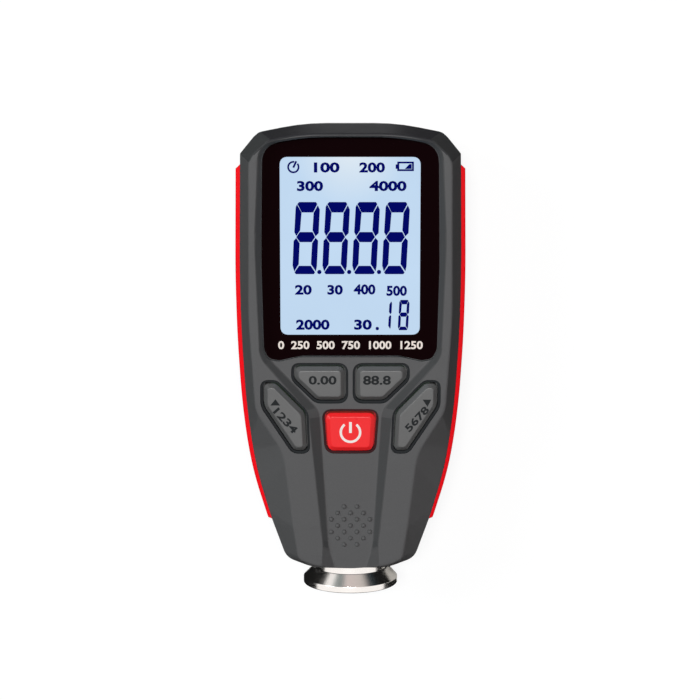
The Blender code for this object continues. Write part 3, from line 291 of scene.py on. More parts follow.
def plate_mesh(name, loops, low, high):
    """Flat outlines with thickness: a loop that lies inside another is a hole."""
    curve = bpy.data.curves.new(name, "CURVE")
    curve.dimensions = "2D"
    curve.fill_mode = "BOTH"
    curve.extrude = (high - low) / 2
    for loop in loops:
        spline = curve.splines.new("POLY")
        spline.points.add(len(loop) - 1)
        for point, place in zip(spline.points, loop):
            point.co = (place[0], place[1], 0, 1)
        spline.use_cyclic_u = True
    return curve_mesh(name, curve, Matrix.Translation((0, 0, (low + high) / 2)))


def curve_mesh(name, curve, place):
    guide = placed(name, curve)
    graph = bpy.context.evaluated_depsgraph_get()
    mesh = bpy.data.meshes.new_from_object(guide.evaluated_get(graph))
    bpy.data.objects.remove(guide)
    mesh.transform(place)
    bm = bmesh.new()
    bm.from_mesh(mesh)
    return mesh_from(bm, name)


def bar_mesh(name, radius, low, high, sides=48):
    low, high = Vector(low), Vector(high)
    bm = bmesh.new()
    bmesh.ops.create_cone(
        bm, cap_ends=True, segments=sides, radius1=radius, radius2=radius, depth=(high - low).length
    )
    turn = Vector((0, 0, 1)).rotation_difference(high - low).to_matrix().to_4x4()
    bmesh.ops.transform(bm, matrix=Matrix.Translation((low + high) / 2) @ turn, verts=bm.verts)
    return mesh_from(bm, name)


def box_mesh(name, low, high):
    bm = bmesh.new()
    bmesh.ops.create_cube(bm, size=1)
    size = Vector(high) - Vector(low)
    bmesh.ops.transform(bm, matrix=Matrix.Diagonal((*size, 1)), verts=bm.verts)
    bmesh.ops.translate(bm, vec=(Vector(high) + Vector(low)) / 2, verts=bm.verts)
    return mesh_from(bm, name)


def turned_mesh(name, profile, closed=False, sides=96):
    """Turned about the probe's axis, from (radius, y) points in order."""
    bm = bmesh.new()
    rings = []
    for radius, y in profile:
        if radius == 0:
            rings.append([bm.verts.new((0, y, PARTING_Z))] * sides)
            continue
        turns = [2 * pi * i / sides for i in range(sides)]
        rings.append([bm.verts.new((radius * cos(a), y, PARTING_Z + radius * sin(a))) for a in turns])
    pairs = list(zip(rings, rings[1:]))
    if closed:
        pairs.append((rings[-1], rings[0]))
    for low, high in pairs:
        for i in range(sides):
            j = (i + 1) % sides
            corners = list(dict.fromkeys((low[i], low[j], high[j], high[i])))
            bm.faces.new(corners)
    return mesh_from(bm, name)


def carved(name, base, operations, material):
    """A mesh with the given meshes cut from it or joined to it, one after another. A third value in an
    operation is the material that the cut leaves."""
    obj = add(name, base, material=material)
    others = []
    for i, (operation, mesh, *left) in enumerate(operations):
        other = add(f"{name}_tool_{i}", mesh, material=left[0] if left else material)
        others.append(other)
        modifier = obj.modifiers.new(operation, "BOOLEAN")
        modifier.operation = operation
        modifier.solver = "EXACT"
        modifier.material_mode = "TRANSFER"
        modifier.object = other
    graph = bpy.context.evaluated_depsgraph_get()
    made = bpy.data.meshes.new_from_object(obj.evaluated_get(graph))
    for done in (obj, *others):
        bpy.data.objects.remove(done)
    bm = bmesh.new()
    bm.from_mesh(made)
    mesh = mesh_from(bm, name)
    for finish in made.materials:
        mesh.materials.append(finish)
    return mesh


def shaded(obj, angle=28):
    """Smooth faces, with sharp edges over an angle in degrees."""
    obj.data.shade_smooth()
    obj.data.set_sharp_from_angle(angle=radians(angle))


def smooth(obj):
    """Smooth faces, sharp edges, and flat faces kept flat."""
    shaded(obj)
    flat_faces(obj).weight = 80


def flat_faces(obj):
    weighted = obj.modifiers.new("flat faces", "WEIGHTED_NORMAL")
    weighted.keep_sharp = True
    return weighted


# Materials

def noise(nodes, links, scale, detail=3.0):
    place = nodes.new("ShaderNodeTexCoord")
    texture = nodes.new("ShaderNodeTexNoise")
    texture.inputs["Scale"].default_value = scale
    texture.inputs["Detail"].default_value = detail
    links.new(place.outputs["Object"], texture.inputs["Vector"])
    return texture


def ranged(nodes, links, source, low, high):
    mapped = nodes.new("ShaderNodeMapRange")
    mapped.inputs["To Min"].default_value = low
    mapped.inputs["To Max"].default_value = high
    links.new(source, mapped.inputs["Value"])
    return mapped.outputs["Result"]


def blend(nodes, *colors):
    """A mix of two colours."""
    mix = nodes.new("ShaderNodeMix")
    mix.data_type = "RGBA"
    for socket, color in zip("AB", colors):
        mix.inputs[socket].default_value = (*color, 1)
    return mix


def blank(name):
    """A new material, with its nodes, its links and its shader."""
    made = bpy.data.materials.new(name)
    made.use_nodes = True
    nodes = made.node_tree.nodes
    return made, nodes, made.node_tree.links, nodes["Principled BSDF"]


def surface(name, color, roughness, metallic=0.0, grain=2500, bump=0.1, vary=0.06, specular=0.5, rough_vary=0.06):
    """A finish with a fine grain in its height, colour and roughness."""
    made, nodes, links, shader = blank(name)
    shader.inputs["Metallic"].default_value = metallic
    shader.inputs["Specular IOR Level"].default_value = specular
    fine = noise(nodes, links, grain)
    broad = noise(nodes, links, grain / 12)
    mix = blend(nodes, [c * (1 - vary) for c in color], [min(c * (1 + vary), 1) for c in color])
    links.new(fine.outputs["Fac"], mix.inputs["Factor"])
    links.new(mix.outputs["Result"], shader.inputs["Base Color"])
    rough = ranged(nodes, links, broad.outputs["Fac"], max(roughness - rough_vary, 0.02), roughness + rough_vary)
    links.new(rough, shader.inputs["Roughness"])
    height = nodes.new("ShaderNodeBump")
    height.inputs["Strength"].default_value = bump
    height.inputs["Distance"].default_value = 0.1 * MM
    links.new(fine.outputs["Fac"], height.inputs["Height"])
    links.new(height.outputs["Normal"], shader.inputs["Normal"])
    made.diffuse_color = (*color, 1)
    return made


def linear(red, green, blue):
    """A colour in the scene's own scale from its values on screen, 0 to 255."""
    shares = [c / 255 for c in (red, green, blue)]
    return tuple(c / 12.92 if c <= 0.04045 else ((c + 0.055) / 1.055) ** 2.4 for c in shares)


plastic = surface("dark_plastic", linear(89, 88, 89), 0.55, bump=0.12, specular=0.15)
rubber = surface("red_rubber", (1.0, 0.003, 0.01), 0.5, bump=0.05, specular=0.05)
# Painted shade: darker copies of the dark plastic for the slopes, the softened edges and the top end's slope, set
# by which way the faces point.
painted_shade_slope = surface("painted_shade_slope_plastic", linear(70, 70, 71), 0.6, bump=0.03, specular=0.1)
painted_half_shade_edge = surface("painted_half_shade_edge_plastic", linear(80, 79, 80), 0.6, bump=0.06, specular=0.1)
painted_shade_top = surface("painted_shade_top_plastic", linear(54, 53, 56), 0.6, bump=0.06, specular=0.1)
# Painted shade in the sunk step round each key; round the power key the painted shade is tinted red.
painted_shade_key_ring = surface("painted_shade_key_ring", linear(40, 42, 44), 0.7, bump=0.05, specular=0.1)
painted_red_shade_key_ring = surface("painted_red_shade_key_ring", linear(62, 30, 33), 0.7, bump=0.05, specular=0.1)
key_plastic = surface("key_plastic", linear(97, 96, 96), 0.3, bump=0.03, specular=0.35)
key_red = surface("red_plastic", (1.0, 0.016, 0.02), 0.3, bump=0.03, specular=0.3)
ink = surface("ink", linear(30, 32, 34), 0.6, bump=0.02, specular=0.1)
white_ink = surface("white_ink", linear(255, 240, 236), 0.5, bump=0.02, specular=0.1)
lens_black = surface("lens_black", linear(19, 6, 8), 0.5, bump=0.01, specular=0.0)
lettering = surface("lettering", linear(245, 232, 224), 0.5, bump=0.02, specular=0.1)
segment_ink = surface("segment_ink", linear(3, 10, 105), 0.5, bump=0.02, specular=0.0)
chrome = surface("polished_steel", (0.95, 0.9, 0.86), 0.2, metallic=1.0, grain=900, bump=0.01, vary=0.02)
steel = surface("spring_steel", (0.6, 0.6, 0.6), 0.3, metallic=1.0, bump=0.05)
copper = surface("copper_wire", (0.7, 0.3, 0.12), 0.35, metallic=1.0, bump=0.3)
black = surface("black_plastic", (0.02, 0.02, 0.02), 0.5, bump=0.1)
board_green = surface("board_green", (0.02, 0.15, 0.05), 0.4, bump=0.1, vary=0.2)
jacket = surface("cell_jacket", (0.12, 0.16, 0.2), 0.35, bump=0.03)
grey_rubber = surface("strip_rubber", (0.3, 0.3, 0.3), 0.7, bump=0.05)
lead_black = surface("lead_jacket", (0.03, 0.03, 0.03), 0.55, bump=0.05)
milky = surface("clear_plastic", (0.8, 0.85, 0.9), 0.3, bump=0.02)


def lit_display():
    """The display's pale blue ground, lit from behind and brightest at the middle of its top edge."""
    made, nodes, links, shader = blank("lit_display")
    shader.inputs["Base Color"].default_value = (0.02, 0.025, 0.03, 1)
    shader.inputs["Roughness"].default_value = 0.5
    shader.inputs["Specular IOR Level"].default_value = 0.05
    shader.inputs["Emission Strength"].default_value = 1.0
    place = nodes.new("ShaderNodeTexCoord")
    shift = nodes.new("ShaderNodeMapping")
    per_metre = 80  # the glow reaches as far as one part in 80 of a metre, 12.5 mm
    shift.inputs["Location"].default_value = (0, -47.2 * MM * per_metre, 0)
    shift.inputs["Scale"].default_value = (per_metre, per_metre, 0)
    links.new(place.outputs["Object"], shift.inputs["Vector"])
    glow = nodes.new("ShaderNodeTexGradient")
    glow.gradient_type = "SPHERICAL"
    links.new(shift.outputs["Vector"], glow.inputs["Vector"])
    tint = blend(nodes, linear(190, 214, 238), linear(222, 232, 240))
    links.new(glow.outputs["Fac"], tint.inputs["Factor"])
    cloud = noise(nodes, links, 60, 1.0)
    soft = blend(nodes)
    soft.blend_type = "MULTIPLY"
    soft.inputs["Factor"].default_value = 1.0
    links.new(tint.outputs["Result"], soft.inputs["A"])
    links.new(ranged(nodes, links, cloud.outputs["Fac"], 0.96, 1.04), soft.inputs["B"])
    links.new(soft.outputs["Result"], shader.inputs["Emission Color"])
    return made


def clear_sheet():
    """Clear plastic that shows what is under it. A shine would speckle the black print."""
    made, nodes, links, shader = blank("clear_lens")
    nodes.remove(shader)
    through = nodes.new("ShaderNodeBsdfTransparent")
    slight = noise(nodes, links, 300)
    links.new(ranged(nodes, links, slight.outputs["Fac"], 0.99, 1.0), through.inputs["Color"])
    links.new(through.outputs["BSDF"], nodes["Material Output"].inputs["Surface"])
    made.diffuse_color = (0.1, 0.1, 0.1, 1)
    return made


lcd_ground = lit_display()
clear_lens = clear_sheet()


# Housing

KEYS = [
    # name, outline, height of its top, height of the face around it, place of its stem in millimetres
    ("zero", clockwise(mirrored(INNER_KEY)), FLOOR_Z + KEY_RISE, FLOOR_Z, (-6.2, -3.9)),
    ("read", clockwise(INNER_KEY), FLOOR_Z + KEY_RISE, FLOOR_Z, (6.2, -3.9)),
    ("mode", clockwise(mirrored(OUTER_KEY)), FACE_Z + KEY_RISE, FACE_Z, (-14.2, -10.9)),
    ("units", clockwise(OUTER_KEY), FACE_Z + KEY_RISE, FACE_Z, (14.2, -10.9)),
    ("power", clockwise(POWER_KEY), FLOOR_Z + KEY_RISE, FLOOR_Z, (0, -14.4)),
]


def front_shell():
    """The hollow upper half of the housing, with its sunk panel, its openings and its raised dots."""
    low = PARTING_Z + GAP / 2
    side, tucked = rounded(HOUSING), rounded(inset(HOUSING, EDGE))
    face, inner = rounded(FACE), rounded(inset(FACE, 1.0 * MM))
    columns = []
    for s, t, f, i in zip(side, tucked, face, inner):
        path = [
            Vector((t.x, t.y, low)), Vector((s.x, s.y, low + EDGE)), Vector((s.x, s.y, SHOULDER_Z)),
            Vector((f.x, f.y, face_z(f.y))), Vector((i.x, i.y, face_z(i.y))),
        ]
        columns.append(softened(path, (0, 0, 1.2, 0.8, 0)))
    base = rings_mesh("front_base", mirrored_rings(columns), strips=True)
    shade_top_slope(base)
    cavity_side, cavity_face = rounded(inset(HOUSING, WALL)), rounded(inset(FACE, WALL / 2))
    work = [("DIFFERENCE", rings_mesh("cavity", [
        level(cavity_side, low - WALL), level(cavity_side, SHOULDER_Z), level(cavity_face, CEILING_Z),
    ], strips=True))]
    rebate = rounded(inset(HOUSING, REBATE))
    work.append(("DIFFERENCE", rings_mesh(
        "rebate", [level(rebate, low - WALL), level(rebate, low + TONGUE_HEIGHT)], strips=True
    )))
    for x, y in SCREWS:
        for across in (-x, x):
            boss = bar_mesh("boss", BOSS_RADIUS, (across, y, low), (across, y, CEILING_Z - GAP), 24)
            work.append(("UNION", boss))
            hole = bar_mesh("hole", SCREW_RADIUS, (across, y, low - WALL), (across, y, SHOULDER_Z), 20)
            work.append(("DIFFERENCE", hole))
    work += [("DIFFERENCE", panel_cutter()), ("UNION", raised_dots())]
    recess = rounded(inset(LENS, -LENS_GAP))
    work.append(("DIFFERENCE", plate_mesh("recess", [whole(recess)], LENS_LOW_Z - GAP, FACE_Z + WALL)))
    window = rounded(box_corners(*DISPLAY_OPENING), ring=True)
    work.append(("DIFFERENCE", plate_mesh("window", [window], CEILING_Z - WALL, FACE_Z)))
    for name, radius, low_y, high_y in (("mouth", 8.3, -49.5, -44), ("room", 9.7, -44.7, -30)):
        ends = (0, low_y * MM, PARTING_Z), (0, high_y * MM, PARTING_Z)
        work.append(("DIFFERENCE", bar_mesh(name, radius * MM, *ends)))
    for name, corners, _, around, _ in KEYS:
        # The step round each key takes a painted shade; round the power key the painted shade is tinted red.
        work += key_opening(corners, around, painted_red_shade_key_ring if name == "power" else painted_shade_key_ring)
    for across in (-1, 1):
        work.append(("DIFFERENCE", grip_channel(across)))
    mesh = carved("front_shell_skin", base, work, plastic)
    shell = add("front_shell_skin", mesh, "housing")
    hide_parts("front_shell")
    smooth(shell)


def shade_top_slope(mesh):
    """Painted shade: darker plastic for the slope at the top end, and a second painted shade where it turns to the
    sides.
    """
    for finish in (plastic, painted_shade_top, painted_shade_slope):
        mesh.materials.append(finish)
    for polygon in mesh.polygons:
        slopes = polygon.normal.y > 0.2 and 0.05 < polygon.normal.z < 0.97
        if slopes and polygon.center.y > (TOP - 9) * MM:
            polygon.material_index = 2 if abs(polygon.normal.x) > 0.3 else 1


def panel_cutter():
    """The sunk middle panel: its floor, its sloping sides, and the softened edge where they meet the wings."""
    floor, edge = rounded(PANEL_FLOOR), rounded(PANEL_EDGE)
    within, beyond = rounded(inset(PANEL_FLOOR, 0.8 * MM)), rounded(inset(PANEL_EDGE, -1.4 * MM))
    columns = []
    for w, f, e, b in zip(within, floor, edge, beyond):
        path = [
            Vector((w.x, w.y, face_z(w.y) - PANEL_DEPTH)), Vector((f.x, f.y, face_z(f.y) - PANEL_DEPTH)),
            Vector((e.x, e.y, face_z(e.y))), Vector((b.x, b.y, face_z(b.y) + 0.2 * MM)),
            Vector((b.x, b.y, face_z(b.y) + 2 * MM)),
        ]
        columns.append(softened(path, (0, 0.9, 1.0, 0, 0)))
    mesh = rings_mesh("panel_cutter", mirrored_rings(columns), strips=True)
    for finish in (plastic, painted_half_shade_edge, painted_shade_slope):
        mesh.materials.append(finish)
    # Painted shade by the way faces point: the steep sides get the darkest copy, the softened edges a half shade,
    # and beyond the low end the sides only the half shade, so that the shade fades out.
    steep, gentle, low_end = 0.86, 0.97, -41 * MM
    for polygon in mesh.polygons:
        upright = abs(polygon.normal.z)
        shade = 2 if upright < steep else 1 if upright < gentle else 0
        polygon.material_index = min(shade, 1) if polygon.center.y < low_end else shade
    return mesh


def key_opening(corners, around, material):
    """The sunk step round a key, with a softened rim, and the hole that the key moves in. Their cut faces take the
    given material, a painted shade.
    """
    grown = [rounded(inset(corners, -by * MM, ring=True), ring=True) for by in (0.75, 0.75, 1.05, 1.05)]
    heights = (around - 0.8 * MM, around - 0.05 * MM, around + 0.2 * MM, FACE_Z + WALL)
    columns = []
    for points in zip(*grown):
        path = [Vector((p.x, p.y, z)) for p, z in zip(points, heights)]
        columns.append(softened(path, (0, 0.3, 0, 0)))
    step = rings_mesh("step", [list(ring) for ring in zip(*columns)])
    hole = rounded(inset(corners, -GAP, ring=True), ring=True)
    through = plate_mesh("key_hole", [hole], CEILING_Z - WALL, FACE_Z + WALL)
    return [("DIFFERENCE", step, material), ("DIFFERENCE", through, material)]


def raised_dots():
    """The rows of low dots on the panel, sunk a little so that they join it."""
    bm = bmesh.new()
    flat = Matrix.Diagonal((1, 1, DOT_HEIGHT / DOT_RADIUS, 1))
    sunk = PANEL_DEPTH + 0.08 * MM
    for row, count in enumerate(DOT_ROWS):
        y = DOTS_Y + (3 - row) * 1.01 * DOT_PITCH
        for place in range(count):
            spot = Matrix.Translation(((2 * place - (count - 1)) * DOT_PITCH, y, face_z(y) - sunk))
            bmesh.ops.create_uvsphere(bm, u_segments=16, v_segments=10, radius=DOT_RADIUS, matrix=spot @ flat)
    return mesh_from(bm, "dots")


def clipped(points, low, high):
    """The stretch of a falling line of points between two heights y."""
    made = []
    for start, end in zip(points, points[1:]):
        for y in (high, low):
            if start.y > y >= end.y:
                made.append(start.lerp(end, (start.y - y) / (start.y - end.y)))
        if low < end.y < high:
            made.append(end)
    return made


def grip_line(offset, spare=0.0):
    """The right side's line along a grip, moved out by an offset and made longer by a spare length."""
    line = rounded(inset(HOUSING, -offset * MM))
    return clipped(line, (GRIP_LOW_Y - spare) * MM, (GRIP_HIGH_Y + spare) * MM)


def grip_channel(across):
    outline = grip_line(3.0, GRIP_GAP) + grip_line(-0.8, GRIP_GAP)[::-1]
    low, high = (GRIP_LOW_Z - GRIP_GAP) * MM, (GRIP_HIGH_Z + GRIP_GAP) * MM
    return plate_mesh("channel", [[(p.x * across, p.y) for p in outline]], low, high)


def side_grips():
    """Rubber strips along the sides, with rounded edges and ends that slope in to the housing."""
    path = grip_line(0)
    run = [0.0]
    for start, end in zip(path, path[1:]):
        run.append(run[-1] + (end - start).length)
    upper_slope, lower_slope = 0.9 * MM, 0.6 * MM
    most, least = 0.95, 0.7  # how far a grip stands out, in millimetres, along its run and at its low end
    stations = sorted({*run, upper_slope, run[-1] - lower_slope})
    for across, name in ((-1, "side_grip_left"), (1, "side_grip_right")):
        rings = []
        for at in stations:
            place, out = along(path, run, at)
            left = run[-1] - at
            slopes = most * at / upper_slope, least * left / lower_slope, least + 0.013 * left / MM
            proud = 0.05 + min(most, *slopes)
            profile = [(-0.5, GRIP_LOW_Z), (proud, GRIP_LOW_Z), (proud, GRIP_HIGH_Z), (-0.5, GRIP_HIGH_Z)]
            points = []
            for k, (x, z) in enumerate(profile):
                before, after = Vector(profile[k - 1]), Vector(profile[(k + 1) % 4])
                points += corner_points(before, Vector((x, z)), after, (0.05, 0.3, 0.3, 0.05)[k], FILLET)
            spots = [(place + out * x * MM, z * MM) for x, z in points]
            rings.append([Vector((spot.x * across, spot.y, z)) for spot, z in spots])
        grip = add(f"{name}_skin", rings_mesh(f"{name}_skin", rings), "housing", rubber)
        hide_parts(name)
        smooth(grip)


def along(path, run, at):
    """The place and the outward direction at a distance along a path that runs clockwise."""
    for i in range(len(path) - 1):
        if at <= run[i + 1] or i == len(path) - 2:
            step = path[i + 1] - path[i]
            share = (at - run[i]) / (run[i + 1] - run[i])
            return path[i].lerp(path[i + 1], share), -turned_right(step)


# Display

# The seven bars of a digit, in millimetres from its lower left corner
SEGMENTS = {
    "a": [(1.45, 15.72), (4.98, 15.72), (5.25, 15.32), (4.38, 13.54), (1.99, 13.54), (1.1, 15.35)],
    "b": [(5.41, 14.95), (5.79, 14.1), (5.54, 9.0), (4.92, 8.36), (4.31, 9.6), (4.56, 13.42)],
    "c": [(4.92, 7.88), (5.41, 7.3), (5.14, 1.76), (4.92, 0.72), (3.95, 2.2), (4.2, 6.76)],
    "d": [(1.34, 1.76), (3.84, 1.76), (4.73, 0.37), (4.49, 0.02), (0.68, 0.02), (0.41, 0.37)],
    "e": [(0.74, 7.84), (1.45, 6.75), (1.23, 2.2), (0.33, 0.68), (0, 1.87), (0.25, 7.28)],
    "f": [(0.96, 15.15), (1.88, 13.45), (1.57, 9.6), (0.79, 8.45), (0.41, 9.2), (0.72, 14.68)],
    "g": [(1.55, 9.17), (4.22, 9.17), (4.76, 8.13), (4.05, 7.05), (1.55, 7.05), (0.82, 8.1)],
}


def in_metres(loops):
    return [[(x * MM, y * MM) for x, y in loop] for loop in loops]


def display_lens():
    """The clear lens, with its black print and the line of numbers under it."""
    body = add("display_lens_clear", lens_mesh(), "housing", clear_lens)
    outline = whole(rounded(inset(LENS, 0.02 * MM)))
    shift = Vector((LCD_LEFT / 2 * MM, 0))
    window = [point - shift for point in rounded(box_corners(*PRINT_WINDOW), ring=True)]
    print_low, print_high = LENS_LOW_Z - 0.16 * MM, LENS_LOW_Z - 0.06 * MM
    ring = plate_mesh("display_lens_print", [outline, window], print_low, print_high)
    border = add("display_lens_print", ring, "housing", lens_black)
    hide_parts("display_lens")
    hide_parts("display_lens")
    smooth(body)
    z = LENS_LOW_Z / MM - 0.03
    figures("lens_scale", "0  250  500  750  1000  1250", (0, 4.29), (31.8, 1.86), z, 0, lettering, "housing")


def lcd_segments():
    """The large and small digits, the dots between them, a battery sign and a dial."""
    pitch, low_y, small_y, small = 6.545, 19.8, 7.4, 0.424
    loops = []
    for digit in range(4):
        loops += seven_segment(-12.5 + pitch * digit, low_y, 1.0, "abcdefg")
    loops += seven_segment(10.6, small_y, small, "abcdefg")
    loops += seven_segment(6.76, small_y, small, "bc")
    for digit in range(3):
        loops.append(circle(-6.68 + 6.54 * digit, 20.25, 0.47))
    loops.append(circle(6.05, 7.75, 0.38))
    loops += [
        [(10.32, 42.28), (10.32, 44.34), (13.94, 44.34), (13.94, 42.28)],
        [(10.76, 42.68), (10.76, 43.94), (13.54, 43.94), (13.54, 42.68)],
        [(9.97, 42.77), (9.97, 43.73), (10.32, 43.73), (10.32, 42.77)],
        [(11.95, 42.75), (12.95, 43.8), (13.45, 43.8), (13.45, 42.75)],
        arc(-12.28, 43.15, 1.33, 0.94, 80, 400),
        [(-12.5, 43.1), (-11.85, 44.5), (-11.45, 44.32), (-12.1, 42.95)],
    ]
    low = LCD_HIGH_Z + 0.01 * MM
    moved = in_metres([[(x - LCD_LEFT, y) for x, y in loop] for loop in loops])
    mesh = plate_mesh("lcd_segments", moved, low, low + 0.05 * MM)
    add("lcd_segments", mesh, "housing", segment_ink)


def lcd_figures():
    """The small plain numbers of the display: text, centre and size in millimetres."""
    marks = (
        ("100", (-5.02, 43.07), (5.6, 2.25)), ("200", (4.86, 43.07), (5.6, 2.25)),
        ("300", (-8.67, 39.04), (5.7, 2.25)), ("4000", (8.32, 39.04), (8.1, 2.25)),
        ("20", (-10.2, 16.32), (3.7, 2.2)), ("30", (-3.23, 16.32), (3.4, 2.2)),
        ("400", (3.23, 16.4), (4.8, 2.3)), ("500", (10.3, 16.1), (4.5, 2.3)),
        ("2000", (-8.15, 8.6), (7.4, 2.3)), ("30", (2.9, 8.6), (3.9, 2.3)),
    )
    z = LCD_HIGH_Z / MM + 0.03
    for i, (text, (x, y), size) in enumerate(marks):
        figures(f"lcd_figures_{i}", text, (x - LCD_LEFT, y), size, z, 0, segment_ink, "housing", 0.04)


def lens_mesh():
    side, top = rounded(LENS), rounded(inset(LENS, 0.8 * MM))
    columns = []
    for s, t in zip(side, top):
        path = [Vector((s.x, s.y, LENS_LOW_Z)), Vector((s.x, s.y, FLOOR_Z)), Vector((t.x, t.y, FLOOR_Z))]
        columns.append(softened(path, (0, 0.25, 0)))
    return rings_mesh("lens", mirrored_rings(columns), strips=True)


def seven_segment(x, y, scale, lit):
    """The lit bars of a digit, a little wider and fatter than the outlines above."""
    loops = []
    wide, fat = 1.02, 0.05 * MM
    for name in lit:
        corners = clockwise([(px * scale * wide, py * scale, 0) for px, py in SEGMENTS[name]])
        loops.append([(x + px, y + py) for px, py, _ in inset(corners, -fat * scale, ring=True)])
    return loops


def circle(x, y, radius, sides=24):
    turns = [2 * pi * i / sides for i in range(sides)]
    return [(x + radius * cos(a), y + radius * sin(a)) for a in turns]


def arc(x, y, outer, inner, start, end, steps=40):
    """A ring's stretch, from one angle in degrees to another."""
    turns = [radians(start + (end - start) * i / steps) for i in range(steps + 1)]
    around = [(x + outer * cos(a), y + outer * sin(a)) for a in turns]
    return around + [(x + inner * cos(a), y + inner * sin(a)) for a in reversed(turns)]


def figures(name, text, centre, size, z, angle, material, body, weight=0.03):
    """Plain numbers as thin print, fitted to a width and height in millimetres and turned by an angle."""
    curve = bpy.data.curves.new(name, "FONT")
    curve.body = text
    curve.offset = weight
    curve.resolution_u = 3
    curve.extrude = PRINT
    mesh = curve_mesh(name, curve, Matrix.Identity(4))
    xs, ys = [v.co.x for v in mesh.vertices], [v.co.y for v in mesh.vertices]
    middle = Vector(((min(xs) + max(xs)) / 2, (min(ys) + max(ys)) / 2, 0))
    fit = Matrix.Diagonal((size[0] * MM / (max(xs) - min(xs)), size[1] * MM / (max(ys) - min(ys)), MM, 1))
    place = Matrix.Translation((centre[0] * MM, centre[1] * MM, z * MM)) @ Matrix.Rotation(radians(angle), 4, "Z")
    mesh.transform(place @ fit @ Matrix.Translation(-middle))
    add(name, mesh, body, material)


# Keys

def keys():
    """Each key with a skirt under the shell, a sloping rim, and a stem that presses its switch."""
    insets = (-0.8, -0.8, 0, 0, 0.85, 1.4)
    for name, corners, high, _, (x, y) in KEYS:
        rings = [rounded(inset(corners, by * MM, ring=True), ring=True) for by in insets]
        fall = (0.6 if name == "power" else 1.1) * MM
        heights = (KEY_LOW_Z, CEILING_Z - GAP, CEILING_Z - GAP, high - fall, high, high)
        columns = []
        for points in zip(*rings):
            path = [Vector((p.x, p.y, z)) for p, z in zip(points, heights)]
            columns.append(softened(path, (0, 0, 0, 0.25, 0.3, 0)))
        cap = rings_mesh(f"{name}_cap", [list(ring) for ring in zip(*columns)])
        low_end, high_end = (x * MM, y * MM, STEM_LOW_Z), (x * MM, y * MM, KEY_LOW_Z + 0.35 * MM)
        stem = bar_mesh("stem", STEM_RADIUS, low_end, high_end, 32)
        material, slot = (key_red, "red_plastic") if name == "power" else (key_plastic, "key_plastic")
        mesh = carved(f"{name}_key_skin", cap, [("UNION", stem)], material)
        key = add(f"{name}_key_skin", mesh, f"{name}_key")
        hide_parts(f"{name}_key")
        smooth(key)


def key_marks():
    low, high = LOW_KEY_PRINT_Z, HIGH_KEY_PRINT_Z
    for name, text, centre, size, z, angle in (
        ("zero", "0.00", (-6.1, -3.2), (6.1, 1.95), low, 0), ("read", "88.8", (5.8, -3.2), (6.1, 2.05), low, 0),
        ("mode", "1234", (-14.2, -12.0), (6.6, 1.75), high, -48),
        ("units", "5678", (14.57, -11.6), (6.6, 1.75), high, 48),
    ):
        figures(f"{name}_figures", text, centre, size, z, angle, ink, f"{name}_key")
    sign("mode_arrow", [[(-17.55, -8.6), (-16.4, -7.2), (-15.4, -8.6)]], high, "mode_key", ink)
    sign("units_arrow", [[(15.77, -7.3), (17.67, -7.3), (16.87, -8.9)]], high, "units_key", ink)
    ring = arc(0, -14.79, 2.4, 1.86, 127, 413)
    bar = [(-0.31, -14.95), (-0.31, -12.5), (0.31, -12.5), (0.31, -14.95)]
    sign("power_mark", [ring, bar], low, "power_key", white_ink)


def sign(name, loops, z, body, material):
    mesh = plate_mesh(name, in_metres(loops), (z - PRINT) * MM, (z + PRINT) * MM)
    add(name, mesh, body, material)


# Probe

def probe_collar():
    """The flared collar, turned, with a groove across its end face."""
    profile = [
        (5.2, -51.7), (10.7, -51.7), (10.7, -50.3), (8.6, -47.95), (8.2, -47.95), (8.2, -44.4), (9.4, -44.4),
        (9.4, -43.1), (5.2, -43.1),
    ]
    radii = (0.15, 0.25, 0.2, 0, 0, 0, 0, 0, 0)
    points = []
    for i, ((radius, y), soft) in enumerate(zip(profile, radii)):
        before, after = Vector(profile[i - 1]), Vector(profile[(i + 1) % len(profile)])
        points += corner_points(before, Vector((radius, y)), after, soft, FILLET) if soft else [Vector((radius, y))]
    mesh = turned_mesh("collar", [(p.x * MM, p.y * MM) for p in points], closed=True)
    half, long, groove_y = 1.2 * MM, 30 * MM, -52.18 * MM
    groove = box_mesh("groove", (-long, -half, -half), (long, half, half))
    groove.transform(Matrix.Translation((0, groove_y, PARTING_Z)) @ Matrix.Rotation(pi / 4, 4, "X"))
    mesh = carved("probe_collar_skin", mesh, [("DIFFERENCE", groove)], chrome)
    collar = add("probe_collar_skin", mesh, "housing")
    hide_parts("probe_collar")
    smooth(collar)


def probe_spring():
    """The return spring, which rides with the probe's tip."""
    low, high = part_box("probe_spring")
    wire = 0.35 * MM
    around = (high.x - low.x) / 2 - wire
    steps, turns, sides = 160, 4, 10
    bm = bmesh.new()
    rings = []
    for step in range(steps + 1):
        share = step / steps
        angle = 2 * pi * turns * share
        out = Vector((cos(angle), 0, sin(angle)))
        middle = Vector((0, low.y + wire + share * (high.y - low.y - 2 * wire), PARTING_Z)) + out * around
        spots = [2 * pi * i / sides for i in range(sides)]
        rings.append([bm.verts.new(middle + wire * (out * cos(a) + Vector((0, sin(a), 0)))) for a in spots])
    for before, after in zip(rings, rings[1:]):
        for i in range(sides):
            j = (i + 1) % sides
            bm.faces.new((before[i], before[j], after[j], after[i]))
    bm.faces.new(rings[0])
    bm.faces.new(rings[-1])
    name = "probe_spring_skin"
    spring = add(name, mesh_from(bm, name), "probe_tip", steel)
    shaded(spring, 50)
    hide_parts("probe_spring")
    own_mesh(spring)


